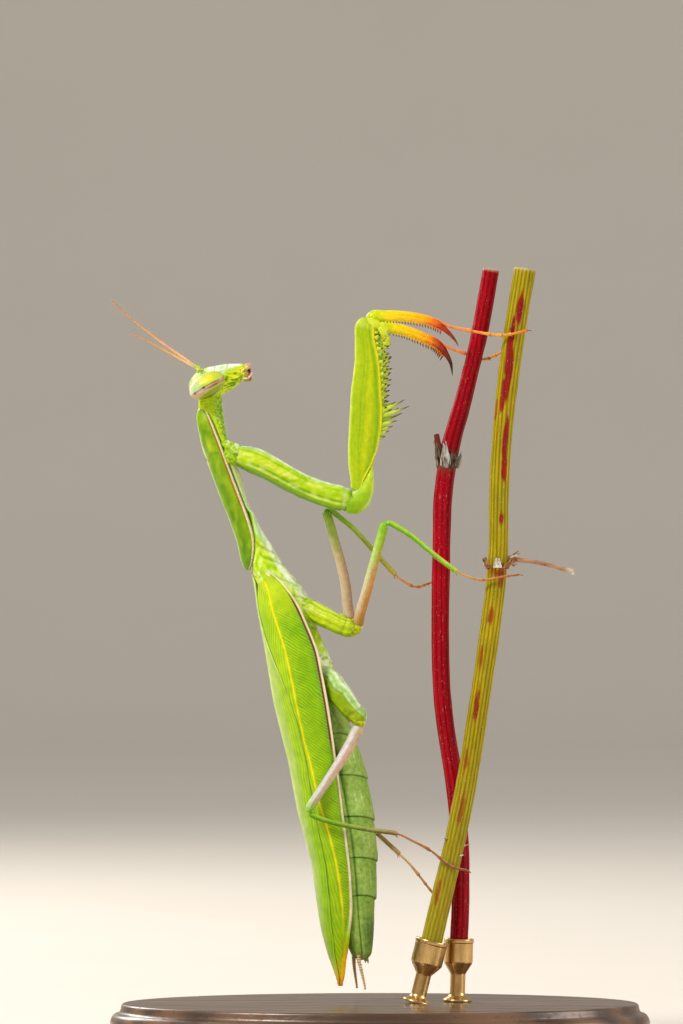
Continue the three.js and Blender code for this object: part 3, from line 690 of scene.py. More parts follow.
# Small teeth down both sides of the throat.
for z in np.arange(neck_top - 0.9, 66.3, -0.19):
    low_s, high_s, low_b, high_b = trunk_reach(z)
    for hand in (1, -1):
        d = 2.62 + 0.22 * rng.random()
        across = (low_s + high_s) / 2 + hand * (high_s - low_s) / 2 * math.sin(d)
        foot = at(across, low_b + (high_b - low_b) * 0.7 * (1 + math.cos(d)) * 0.98, z)
        out = math.cos(d) * BACK + hand * math.sin(d) * SIDE
        leaning = out + 0.3 * rng.normal(size=3) * UP
        thorn(skin, foot - out * 0.03, leaning, 0.22 + 0.16 * rng.random(), 0.075, MINT, WHITE, around=6)


def socket_colour(x, y, z, p):
    return layers(
        mix((136, 186, 20), (180, 212, 40), 0.5 + 0.5 * noise(p, 0.5, 13)),
        ((100, 156, 16), blots(p, 0.3, 18, -1.8, -0.3)),
        ((206, 226, 170), clip(1.8 * noise(p, 0.24, 14) + 0.9 * x - 0.5)),
    )


def socket_wrinkles(x, y, z):
    return 0.05 * np.sin(9 * x + 3 * y) * np.cos(7 * y + 2 * z) + 0.03 * np.sin(17 * x + 5 * z)


def upper_wrinkles(x, y, z):
    return 0.09 * np.sin(9 * y + 5 * z)


def lower_wrinkles(x, y, z):
    return 0.07 * np.sin(11 * x + 4 * y + 3 * z)


# The soft folds of each foreleg's socket: place, long and short half-axis, half-width, relief and fineness.
FOLDS = (
    ((0, 0, 0), (0.35, 0, 1.2), (1.15, 0, -0.3), 1.2, socket_wrinkles, 20),
    ((-0.4, 0, 0.75), (0.2, 0, 0.6), (0.95, 0, -0.5), 0.95, upper_wrinkles, 0),
    ((0.5, 0, 0), (0.2, 0, 0.95), (0.5, 0, -0.15), 0.95, lower_wrinkles, 0),
)
# The middles of the right and left foreleg's sockets.
SOCKETS = np.array([(-16.3, -0.3, 66.0), (-16.3, 2.2, 66.0)])
for socket in SOCKETS:
    for place, long, short, wide, relief, finer in FOLDS:
        axes = (long, short, (0, wide, 0))
        bead(skin, socket + place, axes, socket_colour, relief, rows=40 + finer, around=60 + finer)


def plate_colour(x, y, z, p):
    return mix(mix((160, 200, 40), (196, 220, 80), 0.5 + 0.5 * x), (224, 236, 190), blots(p, 0.3, 15, 1.8))


def plate_folds(x, y, z):
    return 0.05 * np.sin(8 * x + 5 * y)


def mirrored(v, s=0.0):
    """A vector's mirror image in the body's middle plane, which lies s along SIDE."""
    return v - 2 * (v @ SIDE - s) * SIDE


# Small plates at the wing roots: place, size, and how far each leans back.
ROOT_PLATES = (
    ((-13.8, 0.2, 53.0), 0.5, 0.15), ((-13.3, -0.4, 52.75), 0.46, 0.3),
    ((-12.85, -0.85, 53.0), 0.42, 0.55), ((-12.4, -1.3, 52.7), 0.38, 0.7),
)
root_s = trunk_reach(53.0)[:2].mean()
for place, size, lean in ROOT_PLATES:
    axes = np.array([(-lean, 0, 1.5), (0.62, 0, 0.3 * lean), (0.1 / size, -0.6, 0)]) * size
    opposite = mirrored(place - ORIGIN, root_s) + ORIGIN
    for middle, arms in ((place, axes), (opposite, [mirrored(v) for v in axes])):
        bead(skin, middle, arms, plate_colour, plate_folds, rows=24, around=30)
skin.make("trunk_skin", skin_material, "green_cuticle", "neck", "prothorax", "thorax")

# ---------------------------------------------------------------- abdomen

belly_low, belly_high = corners("abdomen")
belly_reach = levels(("thorax", 12.0, 0.5), ("abdomen", 0.5, 0.2))
# Where the segments' edges lie, from 0 at the abdomen's top to 1 at its bottom, and their heights.
EDGE_PLACES = np.array([0.0, 0.148, 0.307, 0.466, 0.624, 0.769, 1.02])
SEGMENTS = belly_high[2] - (belly_high[2] - belly_low[2]) * EDGE_PLACES
LAST_SEGMENT = len(SEGMENTS) - 2
# The angle from the back of the fold between the plates above and below.
FOLD = math.radians(82)


def segment_place(z, d):
    """How far down its segment a height is, from 0 at its top edge to 1 at its rim, and which segment."""
    bowed = z + 0.32 * np.cos(d * 2) - 0.22
    edges = SEGMENTS[::-1]
    i = np.clip(np.searchsorted(edges, bowed) - 1, 0, LAST_SEGMENT)
    return 1 - clip((bowed - edges[i]) / (edges[i + 1] - edges[i])), LAST_SEGMENT - i


def belly_relief(z, a):
    d = folded(a)
    f, _ = segment_place(z, d)
    below = step(FOLD - 0.02, FOLD + 0.08, d)
    plate = 0.02 + 0.17 * f**1.5 - 0.19 * step(0.955, 1.0, f) - 0.05 * (1 - step(0.0, 0.05, f))
    keel = 0.05 * bell(d - math.pi, 0.2)
    fold = 0.07 * bell(d - FOLD - 0.14, 0.06) - 0.2 * bell(d - FOLD, 0.05)
    p = stacked(z, 2.5 * np.cos(a), 2.5 * np.sin(a))
    pucker = 0.03 * noise(p, 0.9, 21) + 0.012 * noise(p * [1, 2.2, 2.2], 0.4, 22)
    return plate * (0.35 + 0.65 * below) + keel + fold + pucker


def belly_colour(z, a, p):
    d = folded(a)
    f, which = segment_place(z, d)
    last = which == LAST_SEGMENT
    n, g = noise(p, 1.3, 24), noise(p, 0.3, 25)

    def dashes(off, width):
        """A broken pale line along the belly's side."""
        line = hill(FOLD + off + 0.05 * np.sin(which * 2.3), width, d)
        return line * hill(0.52, 0.3, f) * (0.65 + 0.35 * g)

    c = layers(
        mix((146, 184, 82), (168, 200, 104), 0.5 + 0.5 * n),
        ((122, 170, 60), 0.4 * step(0.5, 0.0, f)),
        ((150, 190, 100), 0.55 * hill(FOLD + 0.2, 0.16, d) + 0.4 * step(FOLD, FOLD - 0.5, d)),
        ((214, 232, 180), dashes(0.62, 0.05)),
        ((214, 232, 180), dashes(0.36, 0.035)),
        ((150, 186, 110), 0.55 * hill(0.9, 0.07, f)),
        ((52, 92, 40), clip(0.75 * hill(0.985, 0.04, f) + (0.7 - 0.5 * last) * bell(d - FOLD, 0.045))),
        ((62, 100, 42), 0.75 * last * hill(0.55, 0.5, f) * step(FOLD - 0.1, FOLD + 0.5, d)),
        ((206, 214, 150), 0.5 * last * step(0.86, 0.97, f)),
    )
    return shaded(c, 0.08 * g)


belly = Body()
loft(
    belly,
    belly_reach,
    np.arange(belly_high[2] + 0.9, belly_low[2] - 0.06, -0.07),
    lambda z: np.full(len(z), 0.5),
    lambda z: np.interp(z, [belly_low[2], belly_low[2] + 6, belly_high[2]], [2.5, 2.2, 2.1]),
    belly_colour,
    belly_relief,
    around=144,
    tops=(1.5, 0.9),
)
# Two short styles at the tip.
low_s, high_s, low_b, _ = belly_reach(belly_low[2] + 0.5)
for hand in (1, -1):
    foot = at((low_s + high_s) / 2 + hand * 0.28, low_b + 0.35, belly_low[2] + 0.25)
    way = -UP + 0.3 * hand * SIDE - 0.5 * BACK
    base, tip = (196, 206, 150), (206, 190, 150)
    thorn(belly, foot, way, 0.75, 0.2, base, tip, bend=0.2 * BACK, around=12, dark=0.7)
belly.make("abdomen_skin", belly_material, "abdomen_cuticle", "abdomen")

# ---------------------------------------------------------------- pronotum

shield_low, shield_high = (corner[2] for corner in corners("pronotum"))
shield_reach = levels(("pronotum", 0.35, 0.35))


def arch(across):
    """The shield's height over its rims, from 1 at the middle to 0 at a rim."""
    return (1 - across**2.3) ** 0.8


def shield_colour(z, u, p, furrow):
    """u runs from -1 to 1 across the shield."""
    across = np.abs(u)
    n, g = noise(p, 1.4, 33), noise(p, 0.35, 34)
    from_top, from_end = shield_high - z, z - shield_low
    shadow = blots(p * [1, 1, 0.4], 0.8, 35, 0.6, 0.7)
    c = layers(
        mix((98, 146, 4), (138, 178, 8), 0.5 + 0.5 * n),
        ((70, 120, 4), 0.7 * hill(0.5, 0.35, across) * step(66, 60, z) * shadow),
        ((176, 204, 40), 0.3 * blots(p * [1, 1, 0.5], 0.5, 36, 1.6)),
        ((196, 214, 50), 0.5 * hill(0.55, 0.3, across) * hill(67.0, 1.6, z)),
        ((96, 150, 60), 0.45 * step(2.6, 0.4, from_end)),
        ((220, 234, 176), 0.9 * step(-0.1, -0.24, u) * step(-0.62, -0.46, u) * step(1.5, 3.5, from_top)),
        (MINT, 0.5 * bell(u, 0.06)),
        ((86, 140, 12), 0.45 * bell(z - furrow, 0.16)),
        ((150, 84, 64), 0.75 * hill(0.925, 0.045, across) * step(0.5, 2, from_top) * step(57.5, 61, z)),
        (mix((244, 226, 190), (232, 186, 160), 0.45 + 0.3 * g), step(0.945, 0.975, across)),
    )
    return shaded(c, 0.05 * g)


def make_shield():
    """The pronotum: an arched plate with a furrow, a middle ridge and finely toothed rims."""
    z = np.arange(shield_high - 0.02, shield_low + 0.01, -0.07)
    low_s, high_s, low_b, high_b = shield_reach(z).T[:, :, None]
    middle, half, tall = (low_s + high_s) / 2, (high_s - low_s) / 2, high_b - low_b
    cap = (rounding(z[0] - z, 1.3, 0.002) * rounding(z - z[-1], 1.5, 0.002))[:, None]
    even = np.linspace(-1, 1, 161)
    places = np.sin(even * math.pi / 2) * 0.55 + even * 0.45
    zz, u = grid(z, places)
    across = np.abs(u)
    flat = stacked(zz, 2 * u, 0)
    furrow = 65.9 - 0.9 * (1 - across) ** 2 + 0.25 * np.sin(3 * u)
    lift = (
        -0.12 * bell(zz - furrow, 0.2) * step(0.97, 0.85, across)
        + 0.08 * bell(zz - 66.7, 1.0) * hill(0.55, 0.4, across)
        + 0.1 * bell(u, 0.05) * step(0.6, 3, zz - shield_low) * step(0.3, 2.5, shield_high - zz)
        + 0.1 * step(0.955, 0.99, across) - 0.05 * hill(0.93, 0.04, across)
        + 0.012 * noise(flat, 0.25, 31) + 0.03 * noise(flat, 1.1, 32)
    )
    toothed = np.maximum(np.sin(TAU * zz / 0.36 + 0.8 * np.sin(zz * 2.1)), 0) ** 2
    side = middle + (half + 0.05 * toothed * step(0.97, 1.0, across)) * u * cap
    outer = at(side, low_b + (tall * arch(across) + lift) * cap, zz)
    iz, iu = grid(z, places[::-6])
    inner = at(middle + (half - 0.06) * iu * cap, low_b - 0.12 + (tall - 0.15) * arch(np.abs(iu)) * cap, iz)
    above = shield_colour(zz, u, outer, furrow)
    under = np.broadcast_to(linear((132, 186, 128)), inner.shape)
    body = Body()
    body.add(np.concatenate([outer, inner], 1), np.concatenate([above, under], 1))
    body.make("pronotum_shield", shield_material, "green_cuticle", "pronotum")


make_shield()

# ---------------------------------------------------------------- forewings

wing_boxes = [corners(f"tegmen_{side}") for side in ("right", "left")]
WING_BOTTOM = min(low[2] for low, _ in wing_boxes)
WING_TOP = max(high[2] for _, high in wing_boxes)

# The arch that both CAD forewings follow: height, the middle's x, half-width, height over the middle.
ARCH = np.array([
    (53.4, -13.2, 2.2, 0.8), (52, -12.3, 2.9, 1.35), (50.7, -11.6, 3.2, 1.95), (49, -10.85, 3.1, 2.65),
    (44.2, -9.2, 3.85, 3.4), (38.7, -8.2, 4.15, 3.5), (31.8, -6.9, 3.85, 3.0), (26.3, -6.05, 3.55, 2.9),
    (20.4, -4.95, 3.1, 2.5), (16.2, -4.45, 2.6, 2.4), (13.2, -4.25, 2.1, 2.2), (10.6, -4.05, 1.6, 1.7),
    (8, -3.65, 1.2, 1.15), (6.7, -3.55, 1.1, 0.9),
])[::-1]
# Angles round the arch: height, leading edge, inner edge of the right wing, inner edge of the left wing.
EDGES = np.array([
    (53.4, 62, 40, 40), (52.7, 90, 26, 30), (52, 101, 4, 16), (50, 110, -14, 13), (48, 111, -22, 10),
    (46, 110, -30, 0), (45, 109, -32, -4), (42, 108, -36, -22), (39, 107, -38, -36), (36, 107, -39, -42),
    (30, 106, -40, -42), (15, 102, -40, -42), (12, 92, -40, -42), (10.6, 88, -35, -37), (8, 58, -25, -25),
    (6.7, 12, -4, -4),
])[::-1]
# The yellow stripe's angle by height.
STRIPE = ([0, 15, 17.4, 23.4, 28, 34, 40, 45, 50, 54], np.radians([78, 76, 73, 66, 55, 47, 48, 45, 40, 26]))
# How far each wing lies over or under the other where they meet, and the angle at which it does so fully.
LAPS = {"right": (-0.08, 40), "left": (0.06, 35)}

wing_heights = np.arange(EDGES[0, 0], EDGES[-1, 0], 0.2)
arch_run = spread(columns_at(wing_heights, ARCH[:, 0], ARCH[:, 1:]), 16)
edge_run = spread(columns_at(wing_heights, EDGES[:, 0], np.radians(EDGES[:, 1:])), 6)


def between_angles(first, last, a):
    """0 at the first angle and 1 at the last, both in degrees."""
    return step(math.radians(first), math.radians(last), a)


def make_wing(side, hand):
    """A forewing: a thin arched sheet with veins, a yellow stripe and a rimmed leading edge."""
    z = np.arange(WING_TOP - 0.03, WING_BOTTOM + 0.02, -0.1)
    middle, wide, high = columns_at(z, wing_heights, arch_run).T[:, :, None]
    lead_edge, *inner_edges = columns_at(z, wing_heights, edge_run).T[:, :, None]
    inner_edge = inner_edges[0 if side == "right" else 1]
    f = np.linspace(0, 1, 131)
    f = f + 0.049 * np.sin(TAU * f)

    def place(fractions, off):
        """Points off the arch and their angles, at fractions of the way from inner to leading edge."""
        a = inner_edge + (lead_edge - inner_edge) * fractions
        lap, full = LAPS[side]
        normal_s, normal_b = np.sin(a) / wide, np.cos(a) / high
        off = (off + lap * between_angles(60, full, a)) / np.hypot(normal_s, normal_b)
        s = hand * (wide * np.sin(a) + off * normal_s)
        b = high * np.cos(a) + off * normal_b
        return at(middle * SIDE[0] + s, middle * BACK[0] + b, z[:, None]), a

    zz = grid(z, f)[0]
    _, a = place(f, 0.0)
    radius = (wide + high) / 2
    to_lead, to_inner = (lead_edge - a) * radius, (a - inner_edge) * radius
    arc = (a - np.interp(z, *STRIPE)[:, None]) * radius
    flat = stacked(zz, a * 3, 0)
    wob, fine = noise(flat, 1.5, 41), noise(flat, 0.45, 42)

    # Oblique veinlets in the leading field, and long veins that fan out behind the stripe.
    veinlet = 0.5 + 0.5 * np.cos(TAU * (zz + 0.62 * arc + 0.25 * wob + 0.09 * fine) / 0.37)
    leading = step(0.05, 0.3, arc) * step(0.22, 0.5, to_lead)
    fan = 0.5 + 0.5 * np.cos(TAU * (to_inner * (1 + 0.012 * (zz - 20)) + 0.1 * wob) / 0.42)
    behind = step(-0.1, -0.35, arc)
    cross = np.maximum(noise(stacked(zz, to_inner * 3, 0), 0.22, 43), 0) * 0.6
    stripe_line = bell(arc, 0.12) * step(12.5, 17.0, zz)
    rim = step(0.34, 0.22, to_lead) * step(WING_BOTTOM + 3.5, WING_BOTTOM + 6, zz)
    lift = (
        0.05 * veinlet * leading
        + (0.04 * fan + 0.012 * cross) * behind
        + 0.07 * stripe_line
        - 0.04 * bell(np.abs(arc) - 0.2, 0.08)
        + 0.11 * rim
        - 0.06 * bell(to_lead - 0.5, 0.12)
        + 0.05 * noise(flat, 4.0, 44)
        + 0.06 * np.maximum(fine, 0) * step(WING_TOP - 2.0, WING_TOP - 0.6, zz)
    )
    outer, _ = place(f, 0.07 * rounding(np.minimum(to_lead, to_inner), 0.08) + lift)
    inner, _ = place(f[::-4], -0.07)

    green, light, dark = (150, 200, 12), (182, 216, 16), (92, 156, 4)
    # Painted shade: the wing darkens towards its leading edge, between heights of 30 and 51 mm.
    leading_edge_shade = 0.35 * leading * step(1.5, 0.4, to_lead) * step(30, 36, zz) * step(51, 46, zz)
    dark_rim = step(0.2, 0.34, to_lead) * step(0.66, 0.54, to_lead)
    # The left wing's middle strip is paler: a painted sheen, where that wing is seen aslant.
    left = side == "left"
    tip = step(WING_BOTTOM + 5.8, WING_BOTTOM + 3.2, zz) * step(1.1 + 0.2 * wob, 0.1, to_lead)
    rim_paint = mix((240, 230, 196), (240, 214, 190), 0.5 + 0.5 * fine)
    c = layers(
        mix(green, light, 0.55 * step(2.6, 0.2, np.abs(arc)) + 0.2 * wob),
        (dark, 0.85 * leading * (1 - veinlet) ** 1.5 + leading_edge_shade),
        ((204, 230, 40), 0.6 * step(46.5, 50.5, zz)),
        ((120, 178, 10), 0.6 * behind * (1 - fan) ** 2),
        ((196, 222, 60), 0.4 * behind * fan * step(20, 34, zz)),
        ((176, 202, 118), 0.8 * left * between_angles(-30, -8, a) * between_angles(80, 40, a)),
        ((206, 226, 160), 0.7 * left * between_angles(-6, 16, a) * between_angles(60, 34, a)),
        ((214, 232, 160), step(0.17, 0.07, to_inner) * (0.25 + 0.75 * hill(42.5, 5.0, zz))),
        ((248, 230, 26), clip(stripe_line * 1.15) * (0.9 + 0.1 * fine)),
        ((170, 190, 60), 0.6 * step(WING_TOP - 2.2, WING_TOP - 0.6, zz) * step(-0.2, 0.3, fine + 0.1)),
        ((104, 48, 30), 0.97 * dark_rim * step(32.0, 34.5, zz) * step(WING_TOP - 1.5, WING_TOP - 4.0, zz)),
        ((150, 120, 60), 0.45 * hill(0.34, 0.13, to_lead) * step(35.5, 32.5, zz) * step(16, 20, zz)),
        (rim_paint, step(0.34, 0.28, to_lead) * step(12.0, 14.5, zz)),
        ((226, 224, 84), 0.75 * step(WING_BOTTOM + 3.6, WING_BOTTOM + 1.4, zz)),
        ((246, 184, 22), 0.9 * clip(tip + 0.8 * step(WING_BOTTOM + 1.6, WING_BOTTOM + 0.2, zz))),
        ((226, 140, 30), 0.6 * step(WING_BOTTOM + 1.4, WING_BOTTOM + 0.2, zz)),
    )
    under = np.broadcast_to(mix((160, 196, 70), YELLOW, 0.1), inner.shape)
    body = Body()
    body.add(np.concatenate([outer, inner], 1), np.concatenate([c, under], 1))
    body.make(f"forewing_{side}", wing_material, "forewing", f"tegmen_{side}")


make_wing("right", 1)
make_wing("left", -1)

# ---------------------------------------------------------------- legs

# Where a walking leg's coxa begins along the thorax, from its node's upper end. y is outwards.
ROOTS = {
    "mid": [(-2.2, -0.7, 1.1), (-1.0, -0.4, 0.45)],
    "hind": [(-1.8, -0.7, 2.0), (-0.85, -0.4, 0.9)],
}


def leg_lines(leg):
    """Middle lines of a leg's four nodes, each drawn out to meet the next."""
    pair, side = leg.split("_")
    parts = ("coxa", "femur", "tibia", "tarsus")
    lines, start = [], None
    for part in parts:
        low, high = corners(f"{leg}_{part}")
        if start is None:
            start = np.array([low[0], (low[1] + high[1]) / 2, high[2]])
        lines.append(middle_line(f"{leg}_{part}", 2 if part == "femur" else 0, 11, 0.05, start))
        start = lines[-1][-1]
    coxa, femur, tibia, tarsus = lines
    hip_joint, knee, ankle = ((a[-1] + b[0]) / 2 for a, b in zip(lines, lines[1:]))
    coxa = np.vstack([coxa, coxa[-1] + unit(coxa[-1] - coxa[-2]) * (0.1 if leg == "hind_left" else 0.45)])
    if pair == "fore":
        root = [coxa[0] - unit(coxa[1] - coxa[0])]
    else:
        hip_joint = (2 * coxa[-1] + femur[0]) / 3
        outwards = [1, 1 if side == "right" else -1, 1]
        count = np.arange(len(coxa))
        coxa = coxa + np.outer(np.interp(count, [0, 5], [1.2, 0]), [0, 1, 0]) * outwards
        if pair == "mid":
            coxa = coxa - np.outer(np.interp(count, [0, 2, 8, 11], [0.1, 0.25, 0.15, 0]), UP)
        root = coxa[0] + np.array(ROOTS[pair]) * outwards
    femur, tibia = np.vstack([hip_joint, femur, knee]), np.vstack([knee, tibia, ankle])
    return dict(zip(parts, (np.vstack([root, coxa]), femur, tibia, np.vstack([ankle, tarsus]))))


def ridge_lines(c, table):
    """Ridges and grooves along a limb, from (angle, height in mm, width) rows."""
    return sum(height * bell(c - angle, width) for angle, height, width in table)


FORE_COXA_RIDGES = (
    (0.0, 0.1, 0.2), (2.05, 0.07, 0.09), (1.8, -0.05, 0.15), (1.2, 0.05, 0.1), (0.9, -0.04, 0.16),
    (2.5, 0.05, 0.1),
)


def fore_coxa(leg, line):
    """The long first segment of a foreleg, ridged, with a row of pale teeth on top."""
    node = f"{leg}_coxa"
    places, tall, wide = half_sizes(node, line[1:], UP)
    places = np.r_[0.0, 0.04, 0.09, 0.145, places[1:]]
    tall = np.r_[0.72, 0.9, 1.14, 1.32, tall[1:]]
    wide = np.r_[0.7, 0.85, 0.98, 1.06, wide[1:]]
    body = Body()

    def relief(t, a, p):
        lines = ridge_lines(folded(a), FORE_COXA_RIDGES) * step(0.08, 0.25, t) * step(1.0, 0.9, t)
        grain = 0.03 * noise(p * [0.4, 1, 1], 0.9, 51) + 0.012 * noise(p * [0.5, 1, 1], 0.3, 52)
        return lines + grain - 0.12 * bell(t - 0.93, 0.014)

    def colour(t, a, p):
        c = folded(a)
        n, g = noise(p * [0.3, 1, 1], 0.7, 53), noise(p * [0.4, 1, 1], 0.25, 54)
        begun = step(0.1, 0.3, t)
        k = layers(
            mix((156, 200, 16), (192, 222, 30), 0.5 + 0.5 * n),
            ((206, 222, 50), 0.7 * hill(1.2, 0.5, c) * hill(0.35, 0.45, t)),
            ((120, 176, 20), 0.5 * hill(0.85, 0.2, c)),
            # Painted highlight: the whitish band along the top of the coxa.
            ((214, 234, 200), 0.9 * step(0.55, 0.2, c)),
            ((176, 216, 150), 0.6 * hill(0.62, 0.2, c) * step(0.5, 0.2, t)),
            ((232, 236, 150), 0.8 * hill(1.25, 0.35, c) * hill(0.35, 0.35, t) * clip(1.6 * g)),
            ((190, 220, 150), 0.8 * hill(2.05, 0.1, c) * step(0.03, 0.2, t) * step(0.97, 0.86, t)),
            ((196, 222, 110), 0.6 * hill(2.5, 0.09, c) * begun),
            ((96, 154, 12), 0.85 * hill(1.82, 0.17, c) * begun),
            ((108, 160, 14), 0.6 * hill(2.28, 0.12, c) * begun),
            # Painted shade: the dark green underside of the coxa.
            ((80, 138, 8), 0.85 * step(2.1, 2.6, c)),
            ((222, 236, 150), 0.4 * blots(p * [0.5, 1, 1], 0.33, 55, 2.0, -0.2) * step(2.4, 1.9, c)),
            ((116, 170, 14), 0.35 * blots(p * [0.5, 1, 1], 0.33, 55, -2.0, -0.2)),
            ((96, 150, 10), 0.55 * step(0.88, 0.95, t) * (0.5 + 0.5 * g)),
            (PALE, 0.3 * hill(0.93, 0.02, t) + 0.4 * step(0.12, 0.02, t)),
        )
        return shaded(k, 0.06 * g)

    spots = sweep(
        body, line, UP, (places, tall * 0.99), (places, wide), colour, relief,
        around=128, spacing=0.07, ends=(0.9, 1.1),
    )
    for k, t in enumerate(np.linspace(0.14, 0.9, 24)):
        lean = 0.3 * (-1) ** k
        out = unit(UP * math.cos(lean) + NEAR * math.sin(lean) + 0.15 * rng.normal(size=3))
        foot = spots[int(t * (len(spots) - 1))] + out * (np.interp(t, places, tall) + 0.02)
        thorn(body, foot, out, 0.16 + 0.16 * rng.random(), 0.06, PALE, WHITE, around=6)
    body.make(f"{leg}_coxa_skin", leg_material, "green_cuticle", node)


# The angle of the fore femur's yellow edge, which moves round to the front towards the knee.
KEEL = (
    [0, 0.07, 0.12, 0.19, 0.28, 0.4, 0.52, 0.66, 0.78, 0.9, 1],
    [1.4, 1.5, 1.85, 2.35, 2.6, 2.55, 2.5, 2.3, 2.06, 1.93, 1.9],
)
# The long spines in the middle of its row: place, angle, length, tilt.
LONG_SPINES = (
    (0.355, 2.95, 0.9, 0.12), (0.38, 3.1, 1.15, 0.14), (0.405, 2.95, 1.6, 0.16), (0.43, 3.5, 1.6, 0.2),
    (0.46, 3.1, 2.95, 0.24), (0.485, 2.9, 2.5, 0.38), (0.505, 3.4, 1.4, 0.3),
)


def femur_relief(t, a, p):
    c = folded(a)
    off = c - np.interp(t, *KEEL)
    ends = step(0.04, 0.16, t) * step(1.0, 0.86, t)
    crest = c - np.interp(t, [0, 0.15, 0.4, 0.8, 1], [1.1, 1.2, 1.36, 1.36, 1.3])
    ridge = 0.09 * bell(crest, 0.08) - 0.05 * bell(crest + 0.24, 0.16)
    hollow = -0.05 * bell(c - 0.5, 0.2) - 0.05 * bell(off + 0.4, 0.2)
    behind = -0.3 * step(0.03, 0.25, off) * step(0.15, 0.3, t) * step(0.99, 0.9, t)
    rows = 0.16 * np.maximum(np.cos(TAU * t * 30), 0) * bell(off - 0.3, 0.09) * step(0.4, 0.5, t)
    grain = 0.02 * noise(p * [1, 1, 0.3], 0.8, 61) + 0.006 * noise(p, 0.25, 62)
    return (ridge + hollow + 0.13 * bell(off, 0.07) + rows) * ends + 0.07 * bell(c, 0.14) + behind + grain


def femur_colour(t, a, p):
    c = folded(a)
    off = c - np.interp(t, *KEEL)
    n, g = noise(p * [1, 1, 0.22], 0.6, 63), noise(p * [1, 1, 0.4], 0.2, 64)
    rear = step(0.06, 0.14, off)
    row = step(0.42, 0.5, t) * step(0.97, 0.93, t)
    k = layers(
        mix((156, 188, 10), (174, 200, 14), 0.5 + 0.5 * n),
        # Painted highlight: the bright yellow middle of the femur's face.
        ((198, 210, 10), 0.75 * hill(1.7, 0.36, c)),
        ((126, 176, 14), 0.7 * hill(1.2, 0.13, c) * step(0.1, 0.3, t) * step(1, 0.8, t)),
        # Painted shade: the darker green just before the yellow keel.
        ((118, 172, 12), 0.75 * bell(off + 0.25, 0.13) * step(0.05, 0.2, t)),
        ((204, 224, 90), 0.7 * step(0.55, 0.25, c)),
        ((226, 236, 160), 0.7 * step(0.26, 0.05, c)),
        ((232, 216, 24), 0.95 * bell(off, 0.075) * step(0.0, 0.1, t)),
        ((140, 184, 24), 0.85 * rear),
        ((212, 224, 110), 0.8 * rear * blots(p, 0.3, 65, 1.4)),
        ((34, 34, 14), 0.9 * rear * row * blots(p * [1, 1, 1.3], 0.26, 67, 1.8, -0.7)),
        ((140, 188, 20), 0.45 * step(0.14, 0.02, t)),
        ((196, 220, 90), 0.6 * step(0.94, 1.0, t)),
    )
    return shaded(k, 0.05 * g)


def knee_colour(x, y, z, p):
    c = mix((170, 206, 20), (206, 224, 50), 0.5 + 0.5 * z)
    return mix(c, (224, 234, 140), blots(p, 0.25, 66, 1.2, -0.3))


def lobe_folds(x, y, z):
    return 0.03 * np.sin(9 * x + 4 * y)


def knee_folds(x, y, z):
    return 0.035 * np.sin(10 * x) + 0.03 * np.sin(8 * y + 5 * x)


